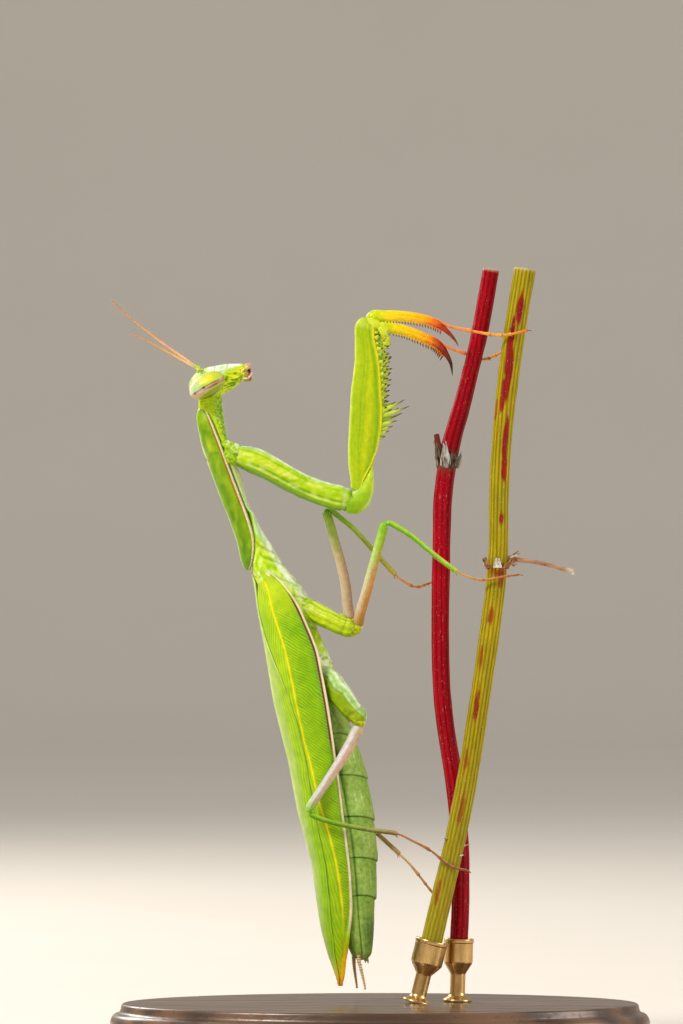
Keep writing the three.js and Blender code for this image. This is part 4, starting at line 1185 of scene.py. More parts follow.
def fore_femur(leg, line):
    """The thick second segment of a foreleg, with its rows of spines and its knee lobes."""
    node = f"{leg}_femur"
    # The far leg hardly shows beside the near one.
    far = leg == "fore_left"
    inset = 0.62 if far else 0.0
    places, _, wide = half_sizes(node, line[1:-1], LEFT)
    left_tall = np.array([1.12, 1.5, 1.68, 1.74, 1.73, 1.7, 1.66, 1.6, 1.45])
    right_tall = np.array([1.0, 1.35, 1.75, 2.02, 2.08, 2.04, 1.98, 1.88, 1.66]) - inset
    wide = wide * 0.86
    body = Body()
    spots = sweep(
        body, line, LEFT, (places, left_tall), (places, wide), femur_colour, femur_relief,
        around=144, spacing=0.07, low=(places, right_tall), power=1.9, ends=(1.5, 0.9),
    )
    _, n_of, b_of = frames(spots, LEFT)

    def root(t, c):
        """A place on the surface, at place t along the femur and angle c round it."""
        k = int(t * (len(spots) - 1))
        up = np.interp(t, places, right_tall if math.cos(c) < 0 else left_tall)
        side = np.interp(t, places, wide)
        return spots[k] + n_of[k] * (up * math.cos(c) * 0.88) + b_of[k] * (side * math.sin(c) * 0.88)

    base, tip = (200, 220, 70), (48, 26, 16)
    right = -LEFT
    for k, t in enumerate(np.linspace(0.5, 0.95, 14)):
        long = k % 2 == 0
        near_row = (np.interp(t, *KEEL) + 0.3, 0.5 if long else 0.32, -0.35)
        far_row = (TAU - 2.75, 0.78 if long else 0.5, 0.1)
        for c, size, lean in (near_row, far_row):
            length = (size * (1.0 - 0.3 * abs(t - 0.65)) + 0.06 * rng.random()) * (0.8 if far else 1.05)
            direction = right + np.array([0, lean, 0.2 + 0.2 * rng.normal()])
            thorn(
                body, root(t, c) - right * 0.12, direction, length + 0.2, 0.25 if long else 0.18, base, tip,
                bend=UP * 0.16 * length, around=12,
            )
    for t, c, length, tilt in LONG_SPINES:
        direction = right + UP * tilt + np.array([0, 0.08 * math.sin(9 * t), 0])
        thorn(
            body, root(t, c) - right * 0.15, direction, (length + 0.35) * (0.75 if far else 1), 0.3,
            (190, 214, 84), (64, 26, 22), bend=UP * 0.1 * length, around=14, dark=0.72,
        )
    for t in np.linspace(0.1, 0.42, 30):
        foot = root(t, np.interp(t, *KEEL) + 0.12) - right * 0.02
        way = right + 0.25 * rng.normal(size=3)
        thorn(body, foot, way, 0.18 + 0.12 * rng.random(), 0.06, base, PALE, around=6)
    # Knee lobes, over the joint with the tibia.
    top = spots[-1] - right * 1.4 * inset
    for hand in (-1, 1):
        side = np.array([0, hand, 0])
        middle = top + side * 0.3 + right * 0.35 - UP * 0.25
        axes = (right * 0.85 - UP * 0.3, UP * 0.62, side * 0.5)
        bead(body, middle, axes, knee_colour, lobe_folds, rows=40, around=50)
        middle = top + side * 0.32 + right * 1.22 - UP * 0.95
        axes = (UP * 0.95 - right * 0.15, right * 0.58, side * 0.4)
        bead(body, middle, axes, knee_colour, knee_folds, rows=40, around=50)
        foot = top + side * 0.4 + right * 1.35 - UP * 1.7
        thorn(body, foot, right - UP * 0.9 + side * 0.2, 0.4, 0.1, PALE, tip)
    body.make(f"{leg}_femur_skin", leg_material, "green_cuticle", node)


def trochanter(leg, coxa):
    """The short piece between coxa and femur, which wraps up the femur's right edge."""
    body = Body()
    path = coxa[-2] + np.array([
        (-0.35, -0.1, -0.1), (0.55, -0.1, -0.3), (1.35, -0.1, 0.35), (1.95, -0.1, 1.55), (2.3, -0.1, 2.9),
        (2.45, -0.1, 3.9),
    ])

    def colour(t, a, p):
        c = layers(
            mix((140, 188, 14), (172, 210, 26), 0.5 + 0.5 * noise(p, 0.9, 68)),
            ((104, 158, 10), 0.6 * step(0.35, 0.0, t)),
            ((206, 226, 60), 0.6 * step(0.4, 0.8, t)),
            ((222, 234, 160), 0.6 * bell(np.cos(a) - 0.55, 0.16) * step(0.15, 0.35, t)),
        )
        return shaded(c, 0.06 * noise(p, 0.3, 69))

    places = [0, 0.16, 0.34, 0.55, 0.75, 0.9, 1]
    tall, wide = [0.9, 0.95, 0.95, 0.9, 0.75, 0.5, 0.25], [1.15, 1.22, 1.15, 0.85, 0.52, 0.3, 0.12]
    sweep(
        body, path, NEAR, (places, tall), (places, wide), colour,
        lambda t, a, p: 0.04 * np.maximum(np.cos(3 * a), 0) ** 3 + 0.02 * noise(p, 0.6, 70),
        around=96, spacing=0.06, ends=(0.7, 0.4),
    )
    body.make(f"{leg}_trochanter_skin", leg_material, "green_cuticle")


def fore_tibia(leg, line):
    """The foreleg's toothed tibia, which ends in a dark hook."""
    near = leg == "fore_right"
    node = f"{leg}_tibia"
    spots = triangles(node).reshape(-1, 3)
    hook = spots[spots[:, 0] - corners(node)[0][0] > 4]
    path = np.vstack([line[0] + [-0.35, 0, -0.1], line[1:-1], hook[hook[:, 2].argmin()] + [0, 0, 0.15]])
    body = Body()
    claw = (132, 22, 16) if near else (104, 12, 20)
    stops = (
        (0, (186, 216, 20)), (0.12, (206, 222, 10)), (0.26, (254, 220, 4)), (0.44, (254, 200, 6)),
        (0.56, (252, 178, 16)), (0.66, (232, 110, 22)), (0.75, (162, 30, 20)), (0.88, claw),
        (0.96, (40, 10, 12)), (1, (20, 6, 8)),
    )
    back_stops = ((0, (224, 232, 150)), (0.3, (250, 222, 160)), (0.6, (250, 190, 140)), (1, (150, 60, 50)))

    def colour(t, a, p):
        c = folded(a)
        n, g = noise(p, 0.7, 71), noise(p, 0.25, 72)
        begun = step(0.2, 0.35, t)
        shift = 0 if near else 0.08 * step(0.35, 0.6, t)
        k = layers(
            blend_along(t + 0.03 * n + shift, *stops),
            (blend_along(t, *back_stops), 0.75 * step(0.34, 0.1, c) * step(0.86, 0.7, t)),
            ((230, 120, 10), (0.45 * hill(1.3, 0.18, c) + 0.35 * hill(2.0, 0.12, c)) * begun),
            ((255, 214, 30), 0.5 * hill(1.65, 0.16, c) * step(0.75, 0.5, t)),
            ((190, 196, 20), 0.4 * step(2.2, 2.9, c) * step(0.5, 0.2, t)),
        )
        return shaded(k, 0.06 * g)

    places = [0, 0.06, 0.16, 0.32, 0.48, 0.6, 0.7, 0.78, 0.86, 0.93, 1.0]
    tall = np.array([0.45, 0.62, 0.6, 0.56, 0.54, 0.5, 0.42, 0.31, 0.21, 0.125, 0.03])
    run = sweep(
        body, path, UP, (places, tall), (places, tall * 0.8), colour,
        lambda t, a, p: 0.05 * bell(folded(a), 0.18) * step(0.8, 0.6, t) + 0.012 * noise(p, 0.4, 73),
        around=64, spacing=0.05, ends=(0.4, 0.05),
    )
    t_of, n_of, b_of = frames(run, UP)
    for t in np.linspace(0.14, 0.74, 22):
        i = int(t * (len(run) - 1))
        size = np.interp(t, places, tall)
        length = (0.2 + 0.42 * t + 0.05 * rng.random()) * (1.1 if near else 1.4)
        shade = blend_along(t, (0.1, (216, 222, 60)), (0.4, (250, 200, 40)), (0.75, (216, 84, 30)))
        for hand, scale in ((1, 1.0), (-1, 0.75)):
            foot = run[i] - n_of[i] * size * 0.86 + hand * b_of[i] * size * 0.32
            thorn(
                body, foot, -n_of[i] + 0.45 * t_of[i] + 0.15 * hand * b_of[i], length * scale,
                (0.1 if near else 0.12) + 0.05 * t, shade, (56, 22, 12), bend=t_of[i] * 0.05, dark=0.42,
            )
    body.make(f"{leg}_tibia_skin", claw_material, "raptorial_tibia", node)


def foot_of(leg, line, thick, *stops):
    """A foot of five joints with a pair of claws."""
    count = 240
    path = along(np.vstack([line, line[-1] + unit(line[-1] - line[-2]) * 0.5]), count)
    cuts = np.array([0.0, 0.44, 0.62, 0.74, 0.83, 1.0])
    body = Body()

    def colour(t, a, p):
        """t runs along one joint, from first to last along the foot."""
        c = layers(
            blend_along(first + t * (last - first), *stops),
            ((250, 224, 190), 0.49 * step(0.9, 0.2, folded(a))),
            ((120, 56, 24), 0.5 * step(0.9, 1.0, t) + 0.35 * step(2.4, 3.0, folded(a))),
        )
        return shaded(c, 0.08 * noise(p, 0.2, 81))

    for first, last in zip(cuts, cuts[1:]):
        i, j = int(first * (count - 1)), int(last * (count - 1))
        end = 1.2 if last < 1 else 0.9
        joint, places = path[max(i - 3, 0) : j + 2], [0, 0.25, 0.75, 0.95, 1]
        tall = (places, thick * np.array([0.72, 0.72, 0.85, end, end]))
        wide = (places, thick * np.array([0.68, 0.66, 0.8, end, end]))
        sweep(body, joint, UP, tall, wide, colour, around=20, spacing=0.08, ends=(0.06, 0.1))
        if last < 1:
            for hand in (1, -1):
                under = np.array([0, hand * 0.6, -0.8])
                onward = under + unit(path[j] - path[j - 8]) * 0.7
                pad = linear(stops[-1][1])
                foot = path[j] + under * thick * 0.6
                thorn(body, foot, onward, thick * 1.5, thick * 0.45, pad, pad * 0.7)
    tip, ahead = path[-1], unit(path[-1] - path[-20])
    across = unit(np.cross(ahead, UP))
    for hand in (1, -1):
        thorn(
            body, tip - ahead * 0.1, ahead + hand * 0.55 * across, 0.62, 0.07, (176, 96, 50), (40, 20, 12),
            bend=-UP * 0.22 - hand * across * 0.08, dark=0.5,
        )
    axes = (ahead * 0.14, across * 0.1, UP * 0.08)
    bead(body, tip + ahead * 0.06, axes, (214, 160, 110), rows=8, around=12)
    body.make(f"{leg}_foot_skin", claw_material, "foot", f"{leg}_tarsus")


def walking_segment(leg, part, line, towards, fullness, slot, towards_stops, other_stops, spurs, hairs):
    """A femur or tibia of a walking leg. towards_stops paint the side that looks the way of towards."""
    node = f"{leg}_{part}"
    places, tall, wide = half_sizes(node, line[1:-1], towards)
    tall, wide = spread(tall * fullness, 2), spread(wide * fullness, 2)
    body = Body()

    def colour(t, a, p):
        g, n = noise(p, 0.25, 91), noise(p * [1, 1, 0.5], 0.9, 92)
        facing = step(0.25, 0.75, 0.5 + 0.5 * np.cos(a) + 0.12 * n)
        c = mix(blend_along(t + 0.02 * n, *other_stops), blend_along(t + 0.02 * n, *towards_stops), facing)
        c = mix(c, c * 0.72, 0.5 * np.maximum(np.cos(4 * a + 0.8), 0) ** 4)
        return shaded(c, 0.07 * g)

    def relief(t, a, p):
        ridges = np.maximum(np.cos(4 * a), 0) ** 3
        return 0.04 * (ridges + 0.35 * noise(p, 0.3, 93)) * np.interp(t, places, tall)

    spots = sweep(
        body, line, towards, (places, tall), (places, wide), colour, relief,
        around=64, spacing=0.08, ends=(tall[0] * 0.9, tall[-1] * 0.9),
    )
    t_of, n_of, b_of = frames(spots, towards)
    for hand in (-1, 1)[:spurs]:
        foot = spots[-1] - t_of[-1] * 0.25 - n_of[-6] * tall[-1] * 0.5 + hand * b_of[-6] * wide[-1] * 0.6
        direction = t_of[-1] * 0.8 - n_of[-1] * 0.5 + 0.35 * hand * b_of[-1]
        thorn(body, foot, direction, 0.55, 0.075, other_stops[-1][1], (90, 60, 30))
    for _ in range(hairs):
        i = int((0.1 + 0.85 * rng.random()) * (len(spots) - 1))
        angle = rng.random() * TAU
        out = n_of[i] * math.cos(angle) + b_of[i] * math.sin(angle)
        foot = spots[i] + out * np.interp(i / len(spots), places, tall) * 0.92
        thorn(body, foot, out + 0.9 * t_of[i], 0.22, 0.014, (226, 226, 190), (226, 210, 170), around=4)
    body.make(f"{node}_skin", leg_material, slot, node)


HIP_RIDGES = {
    "mid": (
        (0.35, 0.07, 0.1), (0.66, -0.05, 0.1), (0.97, 0.05, 0.07), (1.35, 0.045, 0.06), (1.75, -0.05, 0.12),
        (2.2, 0.06, 0.1),
    ),
    "hind": ((0.3, 0.09, 0.1), (0.75, -0.04, 0.12), (1.22, -0.06, 0.06), (1.5, 0.05, 0.1), (2.3, 0.05, 0.1)),
}
# The knob at a walking coxa's lower end: its place from the end, and its long and short half-axis.
KNOBS = {
    "mid": ((-0.25, 0, -0.4), (0.84, 0, 0.52), (-0.36, 0, 0.52)),
    "hind": ((-0.6, 0, -0.2), (0.62, 0, 0.2), (-0.2, 0, 0.56)),
}


def hind_hip_coats(t, c, p, n, ragged):
    upper = step(1.3, 1.12, c)
    return layers(
        mix((124, 166, 8), (156, 184, 12), 0.5 + 0.5 * n),
        ((184, 196, 24), 0.6 * step(0.7, 0.95, t)),
        ((92, 142, 10), 0.5 * blots(p * [1, 1, 0.6], 0.5, 82, 1.5, -0.1)),
        ((104, 146, 12), 0.75 * step(2.3, 2.75, c)),
        # Painted highlight: the mint upper band and its whitish ridge stand for light on the coxa's outer
        # face.
        ((178, 212, 138), upper),
        ((234, 242, 220), 0.7 * hill(0.3, 0.42, c) * (0.5 + 0.5 * ragged)),
        ((112, 164, 84), 0.6 * upper * blots(p * [1, 1, 0.7], 0.35, 83, 1.6, -0.2)),
        ((136, 188, 110), 0.6 * hill(0.8, 0.2, c)),
        ((84, 126, 26), 0.55 * bell(c - 1.22, 0.06) * step(0.3, 0.45, t)),
    )


def mid_hip_coats(t, c, p, n, ragged):
    return layers(
        mix((176, 206, 16), (198, 220, 40), 0.5 + 0.5 * n),
        ((140, 184, 14), 0.7 * step(2.0, 2.5, c)),
        ((98, 144, 14), 0.6 * step(2.45, 2.9, c)),
        ((226, 236, 184), 0.8 * hill(0.33, 0.2, c) * ragged),
        ((128, 176, 14), 0.65 * hill(0.66, 0.13, c)),
        ((224, 234, 140), ragged * (0.7 * bell(c - 0.97, 0.06) + 0.6 * bell(c - 1.35, 0.05))),
        ((138, 182, 12), 0.6 * hill(1.75, 0.22, c)),
    )


def knob_colour(x, y, z, p):
    c = mix((184, 196, 24), (128, 146, 14), blots(p, 0.3, 98, 1.3, 0.5))
    return mix(c, (226, 224, 130), 0.7 * step(0.5, 0.95, x))


def knob_folds(x, y, z):
    return 0.05 * np.sin(8 * x + 5 * z)


def hip(leg, line):
    """The coxa and trochanter of a walking leg, drawn out at the root along the thorax."""
    pair = leg.split("_")[0]
    node = f"{leg}_coxa"
    places, tall, wide = half_sizes(node, line[2:-1] * [1, 0, 1] + middle_of(node) * [0, 1, 0], UP)
    run = lengths(line)
    places = (run[2] + places * (run[-2] - run[2])) / run[-1]
    ends = [1, 0.85, 0.7, 0.7] if leg == "hind_left" else [1, 1, 0.95, 0.9]
    full = {"mid": 0.95, "hind": 1.08}[pair] * np.interp(places, [0.3, 0.7, 0.9, 1], ends)
    places = np.r_[0, run[1] / run[-1], places]
    tall, wide = (spread(np.r_[0.6 * v[0], 0.95 * v[0], v * full], 2) for v in (tall, wide))
    body = Body()

    def ring(t, a):
        """1 on the seam between coxa and trochanter."""
        return bell(t - 0.86 - 0.02 * np.cos(a), 0.018)

    def relief(t, a, p):
        lines = ridge_lines(folded(a), HIP_RIDGES[pair]) * step(0.2, 0.4, t) * step(0.99, 0.9, t)
        grain = 0.03 * noise(p, 0.8, 96) + 0.012 * noise(p, 0.25, 97)
        return lines - 0.09 * ring(t, a) + 0.04 * noise(p, 0.6, 93) * step(0.5, 0.2, t) + grain

    def colour(t, a, p):
        n, g, k = noise(p, 0.9, 92), noise(p, 0.25, 91), noise(p * [1, 1, 1.8], 0.42, 94)
        coats = hind_hip_coats if pair == "hind" else mid_hip_coats
        root = step(0.55, 0.3, t)
        c = layers(
            coats(t, folded(a), p, n, blots(p, 0.5, 95, 0.9, 0.6)),
            ((208, 228, 172), 0.8 * root * clip(1.6 * k + 0.15)),
            ((76, 124, 20), 0.7 * root * clip(-1.8 * k - 0.3)),
            ((112, 140, 12), 0.6 * step(0.86, 0.97, t) * blots(p, 0.35, 98, 1.2, 0.5)),
            ((104, 140, 14), 0.4 * ring(t, a)),
        )
        return shaded(c, 0.07 * g)

    sweep(
        body, line, UP, (places, tall), (places, wide), colour, relief,
        around=96, spacing=0.07, ends=(0.6, tall[-1] * 0.85),
    )
    off, long, high = KNOBS[pair]
    axes = (long, high, (0, 0.72, 0))
    bead(body, line[-1] + np.array(off), axes, knob_colour, knob_folds, rows=30, around=40)
    body.make(f"{leg}_coxa_skin", leg_material, "green_cuticle", node)


leg_names = ("fore_right", "fore_left", "mid_right", "mid_left", "hind_right", "hind_left")
leg_chains = {leg: leg_lines(leg) for leg in leg_names}

for leg in ("fore_right", "fore_left"):
    chain = leg_chains[leg]
    fore_coxa(leg, chain["coxa"])
    fore_femur(leg, chain["femur"])
    trochanter(leg, chain["coxa"])
    fore_tibia(leg, chain["tibia"])
    raised = [chain["tibia"][k] + UP * rise for k, rise in ((8, 0.36), (9, 0.44), (10, 0.62))]
    toe = np.vstack([raised, chain["tarsus"][2:]])
    foot_stops = (0, (240, 120, 50)), (0.45, (244, 146, 96)), (0.7, (236, 170, 60)), (1, (214, 110, 40))
    foot_of(leg, toe, 0.2, *foot_stops)

# Colours of the walking legs as (place, colour) stops: the femur's left and right side, the tibia's top and
# underside, and the foot, with its thickness.
WALKING = {
    "mid_right": (
        (
            (0, (176, 140, 90)), (0.2, (198, 176, 150)), (0.5, (196, 196, 150)), (0.75, (176, 208, 110)),
            (1, (132, 196, 40)),
        ),
        (
            (0, (150, 124, 24)), (0.1, (172, 118, 56)), (0.35, (190, 138, 78)), (0.6, (188, 150, 84)),
            (0.8, (150, 176, 40)), (1, (120, 186, 30)),
        ),
        ((0, (150, 206, 50)), (0.5, (166, 210, 90)), (1, (176, 206, 90))),
        ((0, (110, 172, 16)), (0.6, (104, 168, 24)), (1, (150, 180, 40))),
        ((0, (206, 152, 84)), (0.5, (190, 122, 66)), (1, (160, 92, 46))),
        0.15,
    ),
    "mid_left": (
        ((0, (206, 184, 160)), (0.5, (206, 180, 152)), (0.8, (180, 196, 120)), (1, (140, 190, 60))),
        ((0, (176, 140, 116)), (0.5, (176, 146, 116)), (0.85, (150, 176, 70)), (1, (120, 180, 40))),
        ((0, (140, 190, 60)), (0.5, (168, 190, 80)), (1, (196, 184, 90))),
        ((0, (120, 170, 40)), (0.6, (146, 166, 60)), (1, (176, 150, 70))),
        ((0, (206, 140, 76)), (0.5, (196, 126, 70)), (1, (176, 100, 50))),
        0.17,
    ),
    "hind_right": (
        ((0, (204, 200, 190)), (0.4, (210, 198, 202)), (0.85, (200, 198, 190)), (1, (150, 200, 90))),
        ((0, (190, 170, 140)), (0.4, (206, 170, 150)), (0.85, (184, 170, 140)), (1, (120, 186, 50))),
        ((0, (140, 196, 60)), (0.3, (140, 180, 70)), (0.7, (150, 160, 90)), (1, (160, 136, 96))),
        ((0, (110, 170, 30)), (0.3, (100, 146, 40)), (0.7, (110, 120, 60)), (1, (130, 96, 60))),
        ((0, (176, 126, 92)), (0.5, (168, 110, 76)), (1, (140, 84, 54))),
        0.17,
    ),
    "hind_left": (
        ((0, (196, 176, 150)), (0.6, (196, 176, 140)), (1, (170, 170, 90))),
        ((0, (170, 140, 110)), (0.6, (170, 146, 106)), (1, (150, 160, 70))),
        ((0, (190, 176, 100)), (0.5, (196, 168, 110)), (1, (186, 150, 100))),
        ((0, (190, 168, 104)), (0.5, (196, 158, 108)), (1, (190, 146, 100))),
        ((0, (206, 164, 120)), (0.5, (198, 146, 104)), (1, (172, 120, 80))),
        0.17,
    ),
}
for leg, (left, right, top, below, foot_stops, foot_thick) in WALKING.items():
    chain = leg_chains[leg]
    hip(leg, chain["coxa"])
    walking_segment(leg, "femur", chain["femur"], LEFT, 0.97, "walking_femur", left, right, 0, 24)
    walking_segment(leg, "tibia", chain["tibia"], UP, 0.92, "green_cuticle", top, below, 2, 40)
    foot_of(leg, chain["tarsus"], foot_thick, *foot_stops)

# ---------------------------------------------------------------- head

eye_middles = {1: middle_of("eye_right"), -1: middle_of("eye_left")}
between = (eye_middles[1] + eye_middles[-1]) / 2
RIGHTWARD = unit(eye_middles[1] - eye_middles[-1])
ahead = middle_of("mouthparts") - between
ahead = unit(ahead - (ahead @ RIGHTWARD) * RIGHTWARD)
MOUTHWARD = unit(ahead + 0.01 * unit(np.cross(RIGHTWARD, ahead)))
FACEWARD = unit(np.cross(RIGHTWARD, MOUTHWARD))
HEAD = between + 1.1 * MOUTHWARD
# An eye's long and short axis in the plane of the head's side.
EYE_TILT = math.radians(17)
EYE_LONG = MOUTHWARD * math.cos(EYE_TILT) + FACEWARD * math.sin(EYE_TILT)
EYE_SHORT = -MOUTHWARD * math.sin(EYE_TILT) + FACEWARD * math.cos(EYE_TILT)


def on_head(mouth, face, right):
    """A point from its places towards the mouth, out of the face and to the head's right."""
    return HEAD + stacked(mouth, face, right) @ np.array([MOUTHWARD, FACEWARD, RIGHTWARD])


# By place towards the mouth: the head's half-width, its depth to the face and to the nape, and its middle.
HEAD_WIDE = ([-2.8, -1.8, -0.6, 0.6, 1.8, 2.8, 3.7], [1.5, 2.0, 2.05, 1.68, 1.2, 0.92, 0.74])
HEAD_FRONT = ([-2.8, -1.5, 0, 1.5, 2.8, 3.7], [0.6, 1.3, 1.45, 1.24, 0.88, 0.64])
HEAD_REAR = ([-2.8, -1.5, -0.2, 1, 2, 2.8, 3.7], [0.75, 1.65, 1.9, 1.68, 1.38, 1.05, 0.7])
HEAD_MIDDLE = ([-2.8, -1.5, 0, 1.5, 3.6], [0.35, 0.2, 0.15, 0.3, 0.42])


def oval_spot(u, v):
    """1 in the middle of an oval spot, where u and v are 0, and 0 well outside it."""
    return np.exp(-(u**2 + v**2))


def head_skin(body):
    """The head's shell. m runs towards the mouth, and the angle a from the face round the head's right."""
    crown, chin = np.linspace(-2.75, -2.45, 12), np.linspace(3.34, 3.66, 12)
    m = np.r_[crown[:-1], np.linspace(crown[-1], chin[0], 132), chin[1:]]
    mm, aa = grid(m, np.linspace(-math.pi, math.pi, 180, endpoint=False))
    d = np.abs(aa)
    cap = rounding(mm - m[0], 0.7, 0.003) * rounding(m[-1] - mm, 0.5, 0.003)
    deep = np.where(d < math.pi / 2, np.interp(mm, *HEAD_FRONT), np.interp(mm, *HEAD_REAR))
    flat = stacked(mm, np.cos(aa) * 1.6, np.sin(aa) * 1.6)

    # The ridge between the face and the cheek, and the seams and sockets of the face.
    corner = d - 0.86 + 0.05 * mm
    face = step(0.05, -0.12, corner)
    carina = bell(corner, 0.07) * step(-1.2, -0.7, mm) * step(2.7, 2.2, mm)
    border = bell(mm - 0.02 - 0.25 * np.cos(2 * aa), 0.06) * face
    brow = bell(mm + 0.78 + 0.3 * np.cos(3 * aa), 0.06) * face
    lip = bell(mm - 1.55 - 0.1 * np.cos(3 * aa), 0.06) * face
    from_feelers = [(mm + 1.28) ** 2 + ((aa - side * 0.42) * 1.35) ** 2 for side in (1, -1)]
    socket = sum(bell(off - 0.1, 0.035) for off in from_feelers)
    pit = sum(np.exp(-off / 0.05) for off in from_feelers)

    # The rough cheek, the jaw's edge and the folds of the throat.
    cheek = step(0.1, 0.35, corner) * step(-0.3, 0.4, mm)
    streak = noise(stacked((mm + 0.9 * d) * 0.45, (d - 0.45 * mm) * 1.5, np.sign(aa)), 0.2, 101)
    rough = np.maximum(streak, -0.4) * 0.15 * cheek * step(1.2, 1.6, d)
    lumps = rough + 0.05 * noise(flat, 0.5, 102) * cheek
    jaw = 0.1 * bell(d - 1.75 - 0.1 * np.sin(3 * mm), 0.1) * step(0.2, 0.8, mm)
    jaw_groove = -0.09 * bell(d - 1.45 - 0.12 * mm, 0.06) * step(0.7, 1.1, mm)
    folds = np.sin(TAU * (mm + 0.1 * noise(flat, 0.6, 103)) / 0.36)
    throat = 0.05 * folds * step(2.0, 2.6, d) * step(2.0, 1.4, mm)
    nape = -0.06 * bell(aa, 0.05) * step(-1.9, -2.3, mm)
    lift = (
        0.085 * carina - 0.055 * (border + lip) - 0.05 * brow + 0.07 * socket - 0.12 * pit
        + lumps + jaw + jaw_groove + throat + nape + 0.05 * hill(-0.38, 0.42, mm) * face
        + 0.012 * noise(flat, 0.3, 104)
    )
    ca, sa = waves(aa, 0.88)
    out = np.interp(mm, *HEAD_MIDDLE) + (deep + lift) * ca * cap
    p = on_head(mm, out, (np.interp(mm, *HEAD_WIDE) + lift) * sa * cap)

    n, g, f = noise(p, 0.9, 105), noise(p, 0.28, 106), noise(p, 0.45, 107)
    # Painted shade: darker green in the furrows of the cheek's rough relief.
    furrows = clip(-2.4 * streak - 0.25) * step(1.15, 1.5, d) * step(0.2, 0.9, mm)
    c = layers(
        mix((164, 208, 20), (204, 228, 36), 0.5 + 0.5 * n),
        ((84, 136, 10), 0.25 * cheek * clip(0.4 + 1.3 * f) * step(1.0, 1.5, d)),
        # Painted shade in the cheek's furrows, then a painted highlight on its raised streaks.
        ((66, 108, 10), 0.65 * cheek * furrows),
        ((222, 232, 60), 0.8 * cheek * clip(2.2 * streak - 0.1)),
        ((190, 220, 120), 0.9 * face),
        ((234, 244, 224), 0.95 * face * step(3.4, 2.8, mm) * step(-1.1, -0.3, mm)),
        ((186, 222, 110), 0.7 * face * hill(1.0, 0.6, mm) * step(0.1, 0.4, d)),
        ((222, 236, 226), 0.8 * bell(corner - 0.02, 0.13) * step(-1.4, -0.9, mm) * step(2.5, 1.9, mm)),
        ((206, 224, 232), 0.75 * oval_spot((mm - 0.75) / 0.35, (d - 1.08) / 0.2)),
        ((120, 176, 60), 0.6 * clip(border + brow + lip)),
        ((90, 140, 40), 0.6 * clip(pit)),
        ((240, 226, 20), 0.85 * oval_spot((mm - 3.1) / 0.26, (d - 1.15) / 0.36)),
        ((150, 110, 60), 0.5 * step(3.2, 3.45, mm) * step(0.8, 1.4, d)),
        ((176, 210, 60), 0.5 * step(2.2, 2.8, d) * step(0.5, -0.5, mm)),
    )
    body.add(p, shaded(c, 0.06 * g))


def rim_colour(t, a, p):
    c = mix((176, 214, 60), (204, 226, 140), hill(0.25, 0.25, t))
    return mix(c, (120, 176, 20), 0.6 * hill(0.75, 0.22, t))


head = Body()
head_skin(head)
# The three small eyes on the crown: places out of the face, to the right and to the mouth, and size.
SMALL_EYES = ((1.52, 0.3, -1.75, 0.14), (1.52, -0.3, -1.75, 0.14), (1.6, 0.0, -1.5, 0.11))
for face, right, mouth, size in SMALL_EYES:
    axes = (FACEWARD * size * 0.8, MOUTHWARD * size, RIGHTWARD * size)
    bead(head, on_head(mouth, face, right), axes, (226, 206, 120))
# The rim that holds each eye, from the crown round below it to the cheek.
turn = np.linspace(0, TAU, 41)[:, None]
for hand in (1, -1):
    inwards = -hand * RIGHTWARD * (0.3 + 0.1 * np.cos(turn))
    ring = eye_middles[hand] + 2.0 * np.cos(turn) * EYE_LONG + 1.16 * np.sin(turn) * EYE_SHORT + inwards
    sweep(
        head, ring, hand * RIGHTWARD, 0.14, 0.15, rim_colour, lambda t, a, p: 0.02 * noise(p, 0.3, 109),
        around=16, spacing=0.1, ends=(0, 0),
    )
head.make("head_skin", skin_material, "green_cuticle", "head")


def eye_surface():
    """A fine net of facets."""
    m = Nodes("eye")
    tint, facets = m.tint(), m.cells(0.055)
    m.surface(
        Base_Color=m.blend(m.times(tint, (0.78, 0.78, 0.74)), tint, m.ramp(facets, 0.55, 0.2)),
        Roughness=0.4,
        Subsurface_Weight=0.15,
        Subsurface_Radius=(1.0, 0.9, 0.4),
        Subsurface_Scale=0.0003,
        Coat_Weight=0.12,
        Coat_Roughness=0.2,
    )
    m.bumps((m.ramp(facets, 0.6, 0.0), 0.006))
    return m.material


